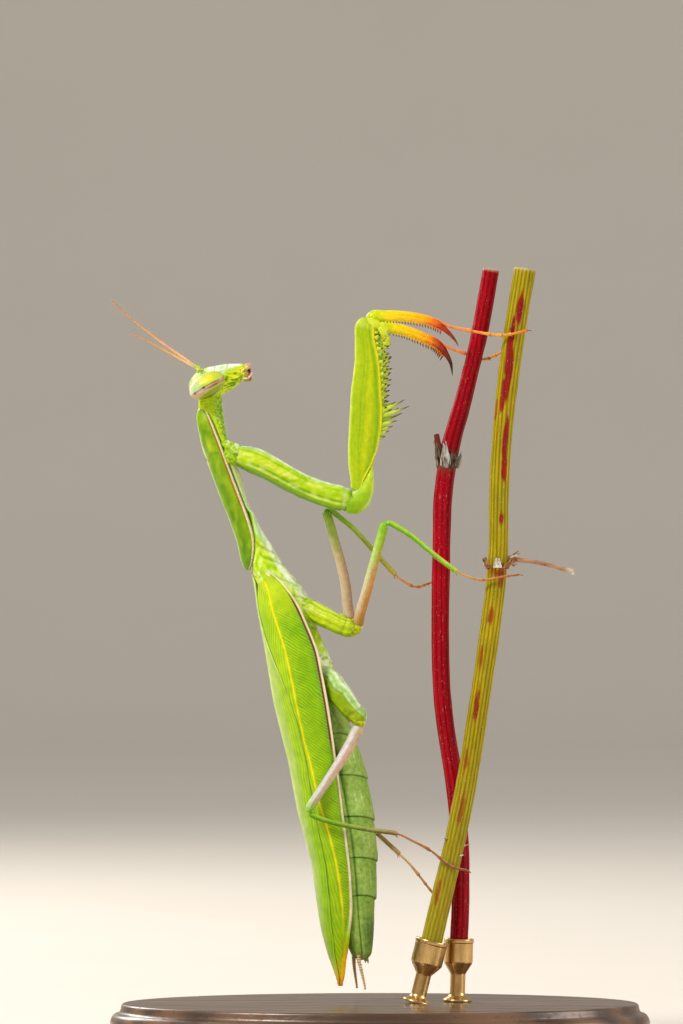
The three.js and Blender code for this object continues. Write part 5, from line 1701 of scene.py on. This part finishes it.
def make_eye(side, hand, material):
    """An eye, yellow in its upper half and banded below. u and v run along its long and short axis."""
    middle = eye_middles[hand]

    def colour(x, y, z, p):
        u, v = (p - middle) @ EYE_LONG, (p - middle) @ EYE_SHORT
        line = np.interp(u, [-1.9, -1.6, -0.25, 0.65, 1.8, 2.1], [0.06, 0.1, 0.21, 0.21, 0.04, 0.0])
        w = v - line + 0.04 * noise(p, 0.5, 111)
        off_u, off_w = (u - 0.28) / 0.88, (w - 0.68 + 0.1 * (u - 0.3)) / 0.42
        patch = np.exp(-((off_u**2) ** 1.5 + (off_w**2) ** 1.5))
        # The whitish upper rim and the pale corner towards the crown are partly the eye's own pale zone and
        # partly a painted diffuse highlight.
        corner = 0.4 * step(0.6, 1.0, v - 0.3 * u) * step(-0.2, -0.7, u)
        upper_rim = 0.8 * step(1.02, 1.16, v - 0.08 * u) + corner
        low = step(0.03, -0.03, w)
        band = bell(w + 0.3 + 0.06 * np.sin(2.4 * u), 0.1) * step(-0.7, -0.3, u) * step(1.5, 1.0, u)
        below = w - np.interp(u, [-1.9, -1.2, 0.0, 1.6], [-0.8, -0.66, -0.5, -0.42])
        # The dark pseudopupil: in life a dark spot that moves with the viewpoint, where the facets facing
        # the viewer send no light back; painted here as fixed shade.
        pseudopupil_spot = np.exp(-((((u + 0.36) / 0.18) ** 2 + ((w + 0.02) / 0.14) ** 2) ** 1.5))
        return layers(
            np.broadcast_to(linear((176, 216, 96)), p.shape),
            ((196, 226, 170), 0.8 * step(-0.3, -1.1, u)),
            ((206, 226, 60), 0.7 * step(-0.7, -0.1, u)),
            ((246, 240, 0), clip(1.2 * patch)),
            ((196, 222, 150), upper_rim),
            ((240, 224, 206), 0.85 * step(-1.45, -1.85, u)),
            ((216, 178, 150), low),
            ((180, 140, 106), 0.8 * low * step(0.2, 0.9, u)),
            ((120, 78, 58), 0.95 * low * band),
            ((206, 196, 196), 0.75 * low * bell(w + 0.22, 0.13) * step(0.3, -0.1, u) * step(-1.6, -1.2, u)),
            ((196, 206, 60), step(0.03, -0.05, below)),
            ((150, 176, 30), step(-0.1, -0.22, below)),
            ((70, 96, 16), 0.8 * step(-0.9, -1.05, v)),
            ((84, 34, 30), 0.9 * bell(w, 0.045) * step(1.9, 1.4, u) * step(-1.95, -1.7, u)),
            ((16, 8, 12), pseudopupil_spot),
            ((64, 26, 30), 0.95 * oval_spot((u + 1.55) / 0.15, (w + 0.06) / 0.14)),
        )

    body = Body()
    axes = (RIGHTWARD * hand * 1.326, EYE_LONG * 2.142, EYE_SHORT * 1.2852)
    bead(body, middle, axes, colour, rows=110, around=160)
    body.make(f"eye_{side}_dome", material, "eye", f"eye_{side}")


eye_material = eye_surface()
make_eye("right", 1, eye_material)
make_eye("left", -1, eye_material)

# Mouthparts: lip, jaws and jointed palps.


def at_mouth(mouth, face, right):
    """A place by the mouth, which sits a little further out than the middle of its CAD node."""
    return on_head(mouth + 0.4, face, right)


def chain_of(body, path, hand, radii, colours):
    """Jointed pieces along a path of (mouth, face, outwards) places."""
    spots = [at_mouth(mouth, face, out * hand) for mouth, face, out in path]
    for a, b, radius, first, last in zip(spots, spots[1:], radii, colours, colours[1:]):
        axis = (b - a) / 2
        across = unit(np.cross(axis, FACEWARD + 0.3 * RIGHTWARD))
        other = unit(np.cross(axis, across))

        def colour(x, y, z, p):
            return shaded(mix(last, first, step(-1, 1, x)), -0.25 * step(0.75, 0.95, np.abs(x)))

        axes = (axis * 1.12, across * radius, other * radius * 0.85)
        bead(body, (a + b) / 2, axes, colour, rows=16, around=16)


def lip_colour(x, y, z, p):
    return mix((206, 222, 70), (226, 190, 120), 0.8 * step(0.2, 0.9, x) + 0.2 * noise(p, 0.2, 121))


def jaw_colour(x, y, z, p):
    return mix(mix((170, 196, 60), (206, 168, 120), step(-0.2, 0.3, x)), (70, 30, 20), step(0.35, 0.8, x))


def jaw_ripples(x, y, z):
    return 0.06 * np.sin(7 * z)


def under_jaw_colour(x, y, z, p):
    return mix((196, 200, 90), (110, 60, 36), step(0.1, 0.9, x))


# Each palp's path, radii and colours.
PALPS = (
    (((2.45, 0.35, 0.78), (2.95, 0.72, 0.98), (3.45, 0.86, 0.82), (3.78, 0.98, 0.55)), (0.15, 0.13, 0.1),
     ((224, 224, 150), (242, 200, 168), (242, 178, 158), (222, 140, 126))),
    (((2.5, -0.35, 0.72), (3.05, -0.42, 0.95), (3.5, -0.2, 0.85), (3.72, 0.12, 0.72)), (0.14, 0.12, 0.1),
     ((200, 210, 130), (230, 196, 170), (232, 172, 164), (232, 172, 164))),
    (((2.6, -0.7, 0.25), (3.1, -0.85, 0.4), (3.5, -0.75, 0.42)), (0.12, 0.1),
     ((176, 196, 90), (196, 150, 100), (150, 96, 60))),
)

mouth = Body()
bead(
    mouth, at_mouth(3.02, 0.62, 0.0), (MOUTHWARD * 0.55, RIGHTWARD * 0.62, FACEWARD * 0.42), lip_colour,
    lambda x, y, z: 0.05 * np.cos(2 * np.arctan2(z, y)), rows=30, around=40,
)
for hand in (1, -1):
    out = RIGHTWARD * hand
    jaw = (MOUTHWARD * 0.62 - out * 0.15, RIGHTWARD * 0.3, FACEWARD * 0.5)
    bead(mouth, at_mouth(2.9, 0.0, 0.5 * hand), jaw, jaw_colour, jaw_ripples, rows=30, around=32)
    tooth = (MOUTHWARD * 0.36, RIGHTWARD * 0.16, FACEWARD * 0.16)
    bead(mouth, at_mouth(3.25, 0.3, 0.42 * hand), tooth, (60, 26, 20), around=16)
    tongue = (MOUTHWARD * 0.3, RIGHTWARD * 0.17, FACEWARD * 0.14)
    bead(mouth, at_mouth(3.3, -0.1, 0.45 * hand), tongue, (226, 156, 140), around=16)
    under_jaw = (MOUTHWARD * 0.5 - FACEWARD * 0.12, RIGHTWARD * 0.26, FACEWARD * 0.2)
    bead(mouth, at_mouth(2.95, -0.45, 0.34 * hand), under_jaw, under_jaw_colour, rows=20)
    for k, face in enumerate((0.42, 0.18, -0.08, -0.3)):
        foot = at_mouth(3.2, face, (0.36 + 0.1 * (k % 2)) * hand)
        direction = MOUTHWARD - 0.25 * out - 0.2 * FACEWARD
        thorn(mouth, foot, direction, 0.42, 0.06, (206, 150, 110), (46, 22, 18), dark=0.35)
    for path, radii, colours in PALPS:
        chain_of(mouth, path, hand, radii, colours)
mouth.make("mouth_pieces", claw_material, "mouthpart", "mouthparts")


def across_and_other(axis, aside):
    """Two directions square to an axis and to each other."""
    across = unit(np.cross(axis, aside))
    return across, unit(np.cross(axis, across))


def joint_colour(x, y, z, p):
    return mix((176, 214, 60), (214, 232, 130), 0.5 + 0.5 * z)


def make_antenna(side, shade, thick):
    """A thick first joint, then rings that grow thinner."""
    node = f"antenna_{side}"
    line = middle_line(node, 0, 11, 0.03, HEAD)
    before, after = line[0] - unit(line[1] - line[0]) * 0.35, line[-1] + unit(line[-1] - line[-2]) * 0.3
    line = np.vstack([before, line, after])
    body = Body()
    size = ([0, 0.05, 0.08, 0.5, 1.0], np.array([0.2, 0.2, 0.14, 0.105, 0.05]) * thick)

    def ring(t):
        return np.cos(TAU * t * 46)

    def colour(t, a, p):
        root = (0, (196, 216, 90)), (0.06, (214, 206, 120)), (0.14, (246, 196, 160))
        c = blend_along(t, *root, (0.5, shade), (1, (206, 130, 84)))
        return shaded(c, -0.22 * np.maximum(ring(t), 0) ** 6)

    sweep(
        body, line, UP, size, size, colour, lambda t, a, p: 0.012 * (1 - 0.7 * t) * ring(t) ** 2,
        around=16, spacing=0.03, ends=(0.05, 0.08),
    )
    lead = unit(line[1] - line[0])
    across, other = across_and_other(lead, UP)
    axes = (lead * 0.42, across * 0.27, other * 0.27)
    bead(body, line[0] + lead * 0.45, axes, joint_colour, rows=20, around=24)
    bead(body, line[0] + lead * 0.95, (lead * 0.2, across * 0.19, other * 0.19), (206, 214, 110))
    body.make(f"{node}_rings", feeler_material, "feeler", node)


def cercus_colour(x, y, z, p):
    return mix((226, 196, 160), (176, 120, 84), step(0.3, 0.9, np.abs(x)))


def make_cercus(side):
    """A short tail feeler: beads that grow smaller, with fine hairs."""
    node = f"cercus_{side}"
    line = middle_line(node, 2, 9, 0.04, belly_low + [0, 0, 99])
    line = along(np.vstack([line[0] + [0, 0, 0.9], line, line[-1] - [0, 0, 0.1]]), 15)
    body = Body()
    for k, (a, b) in enumerate(zip(line, line[1:])):
        r = 0.27 - 0.012 * k
        middle, axis = (a + b) / 2, (b - a) / 2
        across, other = across_and_other(axis, SIDE)
        bead(body, middle, (axis * 1.3, across * r, other * r), cercus_colour, rows=12, around=18)
        for j in range(4):
            angle = j * 1.57 + k
            out = across * math.cos(angle) + SIDE * math.sin(angle)
            foot, way = middle + out * r * 0.85, out + unit(b - a) * 0.8
            thorn(body, foot, way, 0.22, 0.013, (220, 190, 150), (190, 150, 110), around=4)
    body.make(f"{node}_beads", feeler_material, "feeler", node)


make_antenna("right", (240, 170, 120), 1.0)
make_antenna("left", (244, 170, 80), 0.9)
make_cercus("right")
make_cercus("left")

# ---------------------------------------------------------------- stems and twig


def bark(name, rough, size, stretch):
    """A plant stem: fibres drawn out along it, pores and a dull wax."""
    m = Nodes(name)
    depth = 0.03
    tint = m.tint()
    fibre = m.mottle(size, stretch, detail=4.0, roughness=0.6)
    broad = m.mottle(2.4, (1, 1, 0.5))
    speck = m.mottle(0.12, (1, 1, 0.6), detail=1.0)
    c = m.blend(m.times(tint, (0.68, 0.7, 0.66)), tint, m.ramp(fibre, 0.32, 0.6))
    c = m.blend(c, m.times(tint, (1.2, 1.2, 1.25)), m.ramp(broad, 0.4, 0.7, 0, 0.6))
    m.surface(
        Base_Color=m.blend(c, (0.75, 0.66, 0.56), m.ramp(speck, 0.68, 0.78, 0.0, 0.35)),
        Roughness=m.ramp(fibre, 0.3, 0.7, rough + 0.1, rough - 0.08),
        Specular_IOR_Level=0.09,
        Subsurface_Weight=0.05,
        Subsurface_Radius=(1.0, 0.7, 0.3),
        Subsurface_Scale=0.0005,
    )
    m.bumps((fibre, depth), (speck, depth * 0.4))
    return m.material


def rib(count, t, a, p):
    """1 on a stem's ribs and 0 in the furrows between them; the ribs wander a little."""
    return np.abs(np.cos(count / 2 * a + 0.8 * t + 0.7 * noise(p * [0.5, 0.5, 0.08], 1.2, 130))) ** 0.7


def make_stem(node, material, slot, ribs, colour, extra):
    """A ribbed stem from its upper cut end down. extra adds what grows on it."""
    low, high = corners(node)
    line = middle_line(node, 2, 41, 0.01, high)
    line[0] += unit(line[0] - line[1]) * (high[2] - line[0][2] - 0.02)
    line[-1] += unit(line[-1] - line[-2]) * (line[-1][2] - low[2] - 0.02)
    places, tall, wide = half_sizes(node, line, LEFT, count=39)
    body = Body()

    def relief(t, a, p):
        grain = 0.02 * noise(p * [1, 1, 0.15], 0.25, 131) + 0.05 * noise(p * [1, 1, 0.4], 1.5, 132)
        return 0.07 * (rib(ribs, t, a, p) - 0.75) + grain

    size = (places, spread((tall + wide) / 2, 2))
    spots = sweep(body, line, LEFT, size, size, colour, relief, around=160, spacing=0.28, ends=(0.12, 0.12))
    extra(body, spots, np.interp(np.linspace(0, 1, len(spots)), *size))
    body.make(f"{node}_bark", material, slot, node)


# Red blotches on the green stem: place along it, angle, length and strength.
BLOTCHES = (
    (0.115, 1.3, 0.05, 1.0), (0.15, 1.55, 0.045, 1.0), (0.185, 1.2, 0.03, 0.8), (0.25, 1.9, 0.045, 0.9),
    (0.29, 2.0, 0.02, 0.8), (0.205, 0.6, 0.02, 0.5), (0.06, 1.7, 0.03, 0.8), (0.36, 1.8, 0.012, 0.8),
    (0.44, 2.1, 0.02, 0.6), (0.5, 1.4, 0.015, 0.6), (0.56, 1.0, 0.02, 0.5), (0.63, 1.3, 0.03, 0.7),
    (0.71, 1.1, 0.02, 0.5), (0.78, 1.5, 0.03, 0.5), (0.9, 1.0, 0.02, 0.5), (0.17, 4.3, 0.05, 0.9),
    (0.33, 3.7, 0.04, 0.9), (0.52, 4.9, 0.04, 0.7), (0.7, 3.9, 0.05, 0.8), (0.86, 5.2, 0.03, 0.7),
)


def cut_ends(t):
    """1 on a stem's two cut ends."""
    return step(0.996, 1.0, t) + step(0.003, 0.0, t)


def green_stem_colour(t, a, p):
    n, g = noise(p * [1, 1, 0.3], 1.2, 133), noise(p * [1, 1, 0.12], 0.22, 134)
    valley = 1 - rib(16, t, a, p)
    ragged = 0.35 * noise(p, 0.5, 135)
    red = 0.75 * hill(0.437, 0.01, t) * blots(p, 0.5, 141, 1.0, 0.6)
    for place, angle, length, strength in BLOTCHES:
        off = ((t - place) / length) ** 2 + (folded(a + angle) / (0.24 + 0.12 * strength)) ** 2
        red = np.maximum(red, strength * step(1.15 + 0.7 * g, 0.35, off + ragged))
    c = layers(
        mix((160, 138, 6), (132, 126, 12), 0.5 + 0.5 * n),
        # Painted light: lighter on the rib tops (painted highlights) and darker in the furrows between the
        # ribs (painted shade).
        ((188, 172, 44), 0.5 * step(0.35, 0.05, valley)),
        ((104, 100, 14), 0.6 * step(0.35, 0.8, valley)),
        ((166, 160, 60), 0.35 * step(0.6, 1.0, t)),
        ((138, 0, 30), 0.95 * clip(1.3 * red)),
        ((196, 190, 150), cut_ends(t)),
    )
    return shaded(c, 0.1 * g)


def red_stem_colour(t, a, p):
    n, g = noise(p * [1, 1, 0.2], 1.2, 136), noise(p * [1, 1, 0.1], 0.2, 137)
    valley = 1 - rib(10, t, a, p)
    c = layers(
        mix((168, 0, 34), (134, 0, 28), 0.5 + 0.5 * n),
        # Painted light: lighter on the rib tops (painted highlights) and darker in the furrows between the
        # ribs (painted shade).
        ((172, 12, 36), 0.45 * step(0.3, 0.05, valley)),
        ((84, 0, 16), 0.7 * step(0.35, 0.85, valley)),
        ((206, 130, 120), 0.5 * blots(p * [1, 1, 0.6], 0.25, 138, 2.5, -1.7)),
        ((112, 84, 70), 0.9 * hill(0.284, 0.024, t) * blots(p, 0.4, 139, 1.0, 0.6)),
        ((206, 186, 160), cut_ends(t)),
    )
    return shaded(c, 0.1 * g)


def flake(body, foot, direction, across, length, width, curl, colour, seed, thick=0.07, ragged=0.5):
    """A thin dried scale with a torn tip."""
    direction = unit(direction)
    across = unit(across - (across @ direction) * direction)
    lift = np.cross(across, direction)
    ff, gg = grid(np.linspace(0, 1, 22), np.linspace(-1, 1, 15))
    torn = 1 - ragged * (0.5 + 0.5 * noise(stacked(gg * 2.2, 0, seed), 0.5, seed)) * ff
    w = width * (1 - 0.55 * ff**1.6) * (1 + 0.12 * noise(stacked(ff * 4, gg, 0), 0.6, seed + 1))
    bulge = curl * ff**2 + 0.35 * width * gg**2 + 0.12 * width * np.sin(5 * gg + 3 * ff + seed)
    p = foot + stacked(ff * length * torn, gg * w, bulge) @ np.array([direction, across, lift])
    half = (thick / 2 * (1 - 0.6 * ff))[..., None] * lift
    paint = shaded(linear(colour), 0.25 * noise(p, 0.2, seed + 2) - 0.15 * ff)
    body.add(np.concatenate([p + half, (p - half)[:, ::-1]], 1), np.concatenate([paint, paint[:, ::-1]], 1))


def level_way(angle):
    """A level direction."""
    return np.array([math.cos(angle), math.sin(angle), 0])


def green_node(body, spots, size):
    """The dried scales where the twig leaves the green stem, and a few lower down."""
    i = int(0.43 * len(spots))
    for k, angle in enumerate(circle(8)):
        out = level_way(angle)
        foot = spots[i] + out * size[i] * 0.97 - UP * 0.5
        colour = (170, 120, 92) if k % 3 else (228, 220, 210)
        way = UP * 0.6 + out * 0.5 * (k % 2)
        flake(body, foot, way, np.cross(UP, out), 1.1 + 0.9 * rng.random(), 0.46, 0.2, colour, 140 + k)
    for k in range(5):
        j = int((0.8 + 0.05 * rng.random()) * len(spots))
        out = level_way(rng.random() * 6.28)
        foot = spots[j] + out * size[j] * 0.98
        length = 0.6 + 0.4 * rng.random()
        way, across = UP * 0.5 + out, np.cross(UP, out)
        flake(body, foot, way, across, length, 0.2, 0.1, (226, 220, 210), 160 + k, ragged=0.6)
    # Eight draws are passed over, so that the scales of the pieces below stay as they are.
    rng.random(8)


def red_node(body, spots, size):
    """Two rings of dried scales on the red stem, and the stub of a side shoot."""
    i = int(0.289 * len(spots))
    middle = spots[i]
    for k, angle in enumerate(np.linspace(0.3, 6.5, 10)[:-1]):
        out = level_way(angle)
        odd = k % 2
        across = np.cross(UP, out)
        foot = middle + out * size[i] * 0.95 - UP * (0.9 + 0.3 * odd)
        length = (2.7 if out[0] < -0.2 else 1.5) + 0.7 * rng.random()
        colour = (112, 96, 84) if odd else (196, 190, 184)
        flake(body, foot, UP + out * 0.14, across, length, 0.55, 0.14, colour, 170 + k)
        foot = middle + out * size[i] * 0.97 - UP * 1.2
        length = 1.1 + 0.8 * rng.random()
        colour = (84, 66, 56) if odd else (160, 148, 138)
        flake(body, foot, UP + out * 0.2, across, length, 0.3, 0.16, colour, 210 + k, ragged=0.6)
    stub = middle + [(-0.5, -0.2, 0.0), (-1.1, -0.3, 1.2), (-1.35, -0.3, 2.6)]
    thickness = ([0, 0.6, 1], [0.45, 0.34, 0.3])
    sweep(
        body, stub, UP, thickness, thickness,
        lambda t, a, p: mix((120, 92, 78), (110, 50, 46), step(0.2, 0.8, t)),
        lambda t, a, p: 0.03 * noise(p * [1, 1, 0.3], 0.2, 181),
        around=28, spacing=0.07, ends=(0.1, 0.08),
    )


def twig_colour(t, a, p):
    c = mix((150, 104, 84), (186, 146, 122), 0.5 + 0.5 * noise(p * [0.3, 1, 1], 0.25, 191))
    return mix(c, (226, 216, 206), 0.7 * step(0.86, 0.97, t))


def make_twig():
    """The dry twig between the stems, with torn scales at both ends."""
    body = Body()
    line = middle_line("perch_twig", 0, 9, 0.03)
    line = np.vstack([line[0] - [1.0, 0, 0], line, line[-1] + [0.3, 0, -0.1]])
    places = [0, 0.12, 0.3, 0.8, 0.92, 1]
    tall, wide = [0.42, 0.34, 0.22, 0.2, 0.27, 0.16], [0.42, 0.34, 0.22, 0.2, 0.24, 0.16]
    sweep(
        body, line, UP, (places, tall), (places, wide), twig_colour,
        lambda t, a, p: 0.03 * noise(p * [0.3, 1, 1], 0.22, 192) + 0.02 * np.cos(5 * a),
        around=40, spacing=0.06, ends=(0.1, 0.1),
    )
    along_x = np.array([1, 0, 0])
    for k in range(7):
        c, s = math.cos(k * 0.9), math.sin(k * 0.9)
        foot = line[-1] + [-0.35, 0.12 * c, 0.12 * s]
        across = np.cross(along_x, [0.5, c, s])
        way = (1, 0.35 * c, 0.5 * s)
        length = 0.5 + 0.45 * rng.random()
        flake(body, foot, way, across, length, 0.12, 0.1, (220, 208, 196), 193 + k, thick=0.05, ragged=0.7)
    for k in range(8):
        out = np.array([0, math.cos(k * 0.8), math.sin(k * 0.8)])
        foot = line[0] + [0.5, 0, 0] + out * 0.3
        across = np.cross(along_x, out)
        length = 0.8 + 0.9 * rng.random()
        colour = (206, 186, 166) if k % 2 else (146, 100, 76)
        flake(body, foot, along_x + out * 0.4, across, length, 0.2, 0.15, colour, 203 + k, ragged=0.6)
    body.make("perch_twig_bark", bark("dry_bark", 0.7, 0.12, (1, 1, 0.3)), "dry_twig", "perch_twig")


green_bark = bark("green_stem", 0.42, 0.22, (1, 1, 0.09))
red_bark = bark("red_stem", 0.34, 0.2, (1, 1, 0.08))
make_stem("perch_stem_green", green_bark, "green_stem", 16, green_stem_colour, green_node)
make_stem("perch_stem_red", red_bark, "red_stem", 10, red_stem_colour, red_node)
make_twig()

# ---------------------------------------------------------------- stand

# An oval walnut base and two brass rods with cups.


def walnut():
    m = Nodes("walnut")
    rings = m.node(
        "TexWave", "Color", wave_type="BANDS", bands_direction="Y", in_Vector=m.coordinates((0.12, 1, 1)),
        in_Scale=1000 / 16, in_Distortion=5.0, in_Detail=3.0, in_Detail_Scale=1.4,
    )
    pores = m.mottle(0.35, (0.06, 1, 1))
    streak = m.mottle(2.5, (0.1, 1, 1), detail=4.0)
    wood = m.blend((0.055, 0.026, 0.013), (0.16, 0.082, 0.04), rings)
    wood = m.blend(wood, (0.028, 0.013, 0.007), m.ramp(pores, 0.6, 0.72, 0, 0.8))
    m.surface(
        Base_Color=m.blend(wood, (0.2, 0.11, 0.055), m.ramp(streak, 0.5, 0.8, 0, 0.4)),
        Roughness=m.ramp(pores, 0.4, 0.7, 0.3, 0.5),
        Coat_Weight=0.35,
        Coat_Roughness=0.2,
    )
    m.bumps((m.ramp(pores, 0.55, 0.75, 1, 0), 0.03))
    return m.material


def brass():
    m = Nodes("brass")
    brushed = m.mottle(0.3, (1, 1, 0.05))
    blot = m.mottle(3.0)
    m.surface(
        Base_Color=m.blend((0.72, 0.48, 0.19), (0.55, 0.34, 0.13), m.ramp(blot, 0.35, 0.7)),
        Roughness=m.plus(m.ramp(brushed, 0.3, 0.7, 0.2, 0.32), m.ramp(blot, 0.3, 0.7, 0.0, 0.08)),
        Metallic=1.0,
    )
    m.bumps((brushed, 0.004))
    return m.material


def lathe(body, profile, foot, axis, oval=1.0, around=96):
    """A turned shape from (radius, height) points up an axis."""
    x = unit(np.cross([0, 1, 0], axis))
    y = np.cross(axis, x)
    a = circle(around)[:, None]
    r, h = np.array(profile).T[:, :, None, None]
    body.add(foot + h * axis + r * (np.cos(a) * x + oval * np.sin(a) * y), (255, 255, 255))


def rounded(points, radius, steps=7):
    """A profile with its corners rounded."""
    p = np.array(points, float)
    out = [p[0]]
    for a, b, c in zip(p, p[1:], p[2:]):
        u, v = unit(a - b), unit(c - b)
        reach = min(radius, 0.45 * np.linalg.norm(a - b), 0.45 * np.linalg.norm(c - b))
        t = np.linspace(0, 1, steps)[:, None]
        out += list((1 - t) ** 2 * (b + u * reach) + 2 * t * (1 - t) * b + t**2 * (b + v * reach))
    return out + [p[-1]]


def make_base():
    low, high = corners("stand_base")
    (long, wide), tall = (high - low)[:2] / 2, high[2] - low[2]
    profile = [
        (0.01, 0), (long - 0.6, 0), (long - 0.1, 0.5), (long, 1.4), (long, tall - 1.9),
        (long - 0.35, tall - 1.2), (long - 1.1, tall - 1.0), (long - 1.3, tall), (0.01, tall),
    ]
    body = Body()
    foot = middle_of("stand_base") - [0, 0, tall / 2]
    lathe(body, rounded(profile, 0.35), foot, UP, wide / long, around=192)
    body.make("stand_base_turned", walnut(), "stand_wood", "stand_base")


def make_rod(node, material):
    """A turned rod and its cup, measured from the CAD node."""
    spots = triangles(node).reshape(-1, 3)
    low, _ = corners(node)
    foot, higher = (cut(node, low + [0, 0, height], UP).mean(0) for height in (0.3, 1.6))
    axis = unit(higher - foot)
    foot = foot - axis * (foot[2] - low[2]) / axis[2]
    h = (spots - foot) @ axis
    r = np.linalg.norm(spots - foot - h[:, None] * axis, axis=1)
    top, outer, rod = h.max(), r.max(), r[h < 1.0].max()
    inner = r[h > top - 0.05].min()
    cup_floor = h[(r > inner * 0.9) & (r < inner * 1.05)].min()
    profile = [
        (0.01, -0.16), (rod * 1.9, -0.16), (rod * 1.9, 0.12), (rod * 1.15, 0.5), (rod, 0.8),
        (rod, cup_floor - 1.7), (outer * 0.9, cup_floor - 0.75), (outer, cup_floor - 0.45),
        (outer, top - 0.5), (outer + 0.06, top - 0.42), (outer + 0.06, top - 0.1), (outer, top),
        (inner, top), (inner, cup_floor), (0.01, cup_floor),
    ]
    body = Body()
    lathe(body, rounded(profile, 0.12, 5), foot, axis)
    body.make(f"{node}_turned", material, "stand_brass", node)


make_base()
brass_material = brass()
make_rod("stand_rod_1", brass_material)
make_rod("stand_rod_2", brass_material)

# ---------------------------------------------------------------- camera, light, floor

scene = bpy.context.scene
# The view's distance, and how much of the plane through the middle it shows from top to bottom, both in mm.
VIEW_DISTANCE = 950
VIEW_HEIGHT = 113.778
camera = bpy.data.objects.new("camera", bpy.data.cameras.new("camera"))
camera.data.sensor_width = 36
camera.data.lens = camera.data.sensor_width * VIEW_DISTANCE / VIEW_HEIGHT
camera.data.clip_start = 0.1
camera.location = (-0.00428, -VIEW_DISTANCE / 1000, 0.05956)
camera.rotation_euler = (math.pi / 2, 0, 0)
scene.collection.objects.link(camera)
scene.camera = camera


def area_light(name, place, size, watts, colour):
    lamp = bpy.data.lights.new(name, "AREA")
    lamp.shape = "DISK"
    lamp.size = size
    lamp.energy = watts
    lamp.color = colour
    made = bpy.data.objects.new(name, lamp)
    made.location = place
    made.rotation_euler = (Vector((0, 0, 0.05)) - Vector(place)).to_track_quat("-Z", "Y").to_euler()
    scene.collection.objects.link(made)


area_light("key", (-0.38, -0.36, 0.5), 0.2, 4.0, (1.0, 0.97, 0.92))
area_light("fill", (0.5, -0.12, 0.22), 0.3, 1.3, (1.0, 0.98, 0.96))
area_light("rim", (-0.3, 0.4, 0.3), 0.25, 1.6, (1.0, 0.97, 0.92))

world = bpy.data.worlds.new("studio")
world.use_nodes = True
background = world.node_tree.nodes["Background"]
background.inputs["Color"].default_value = (1.0, 0.98, 0.95, 1)
background.inputs["Strength"].default_value = 0.42
scene.world = world
scene.view_settings.view_transform = "Standard"


def floor_sheet():
    """The floor: flat round the stand, and rising in one long curve well outside the camera's ring."""
    bend, flat, around = 0.45, 1.25, 96
    profile = [(r, 0.0) for r in np.linspace(0.05, flat, 14)]
    turns = np.linspace(0, math.pi / 2, 25)[1:]
    profile += [(flat + bend * math.sin(t), bend * (1 - math.cos(t))) for t in turns]
    spots = [(r * math.cos(t), r * math.sin(t), z) for r, z in profile for t in circle(around)]
    faces = [*grid_faces(len(profile), around)[:, ::-1].tolist(), range(around)]
    mesh = bpy.data.meshes.new("floor")
    mesh.from_pydata(spots, [], faces)
    mesh.polygons.foreach_set("use_smooth", [True] * len(faces))
    m = Nodes("floor")
    m.surface(Base_Color=m.blend((0.80, 0.74, 0.66), (0.84, 0.78, 0.70), m.mottle(60.0)), Roughness=0.8)
    m.bumps((m.mottle(1.2), 0.02))
    mesh.materials.append(m.material)
    made = bpy.data.objects.new("floor", mesh)
    scene.collection.objects.link(made)


floor_sheet()
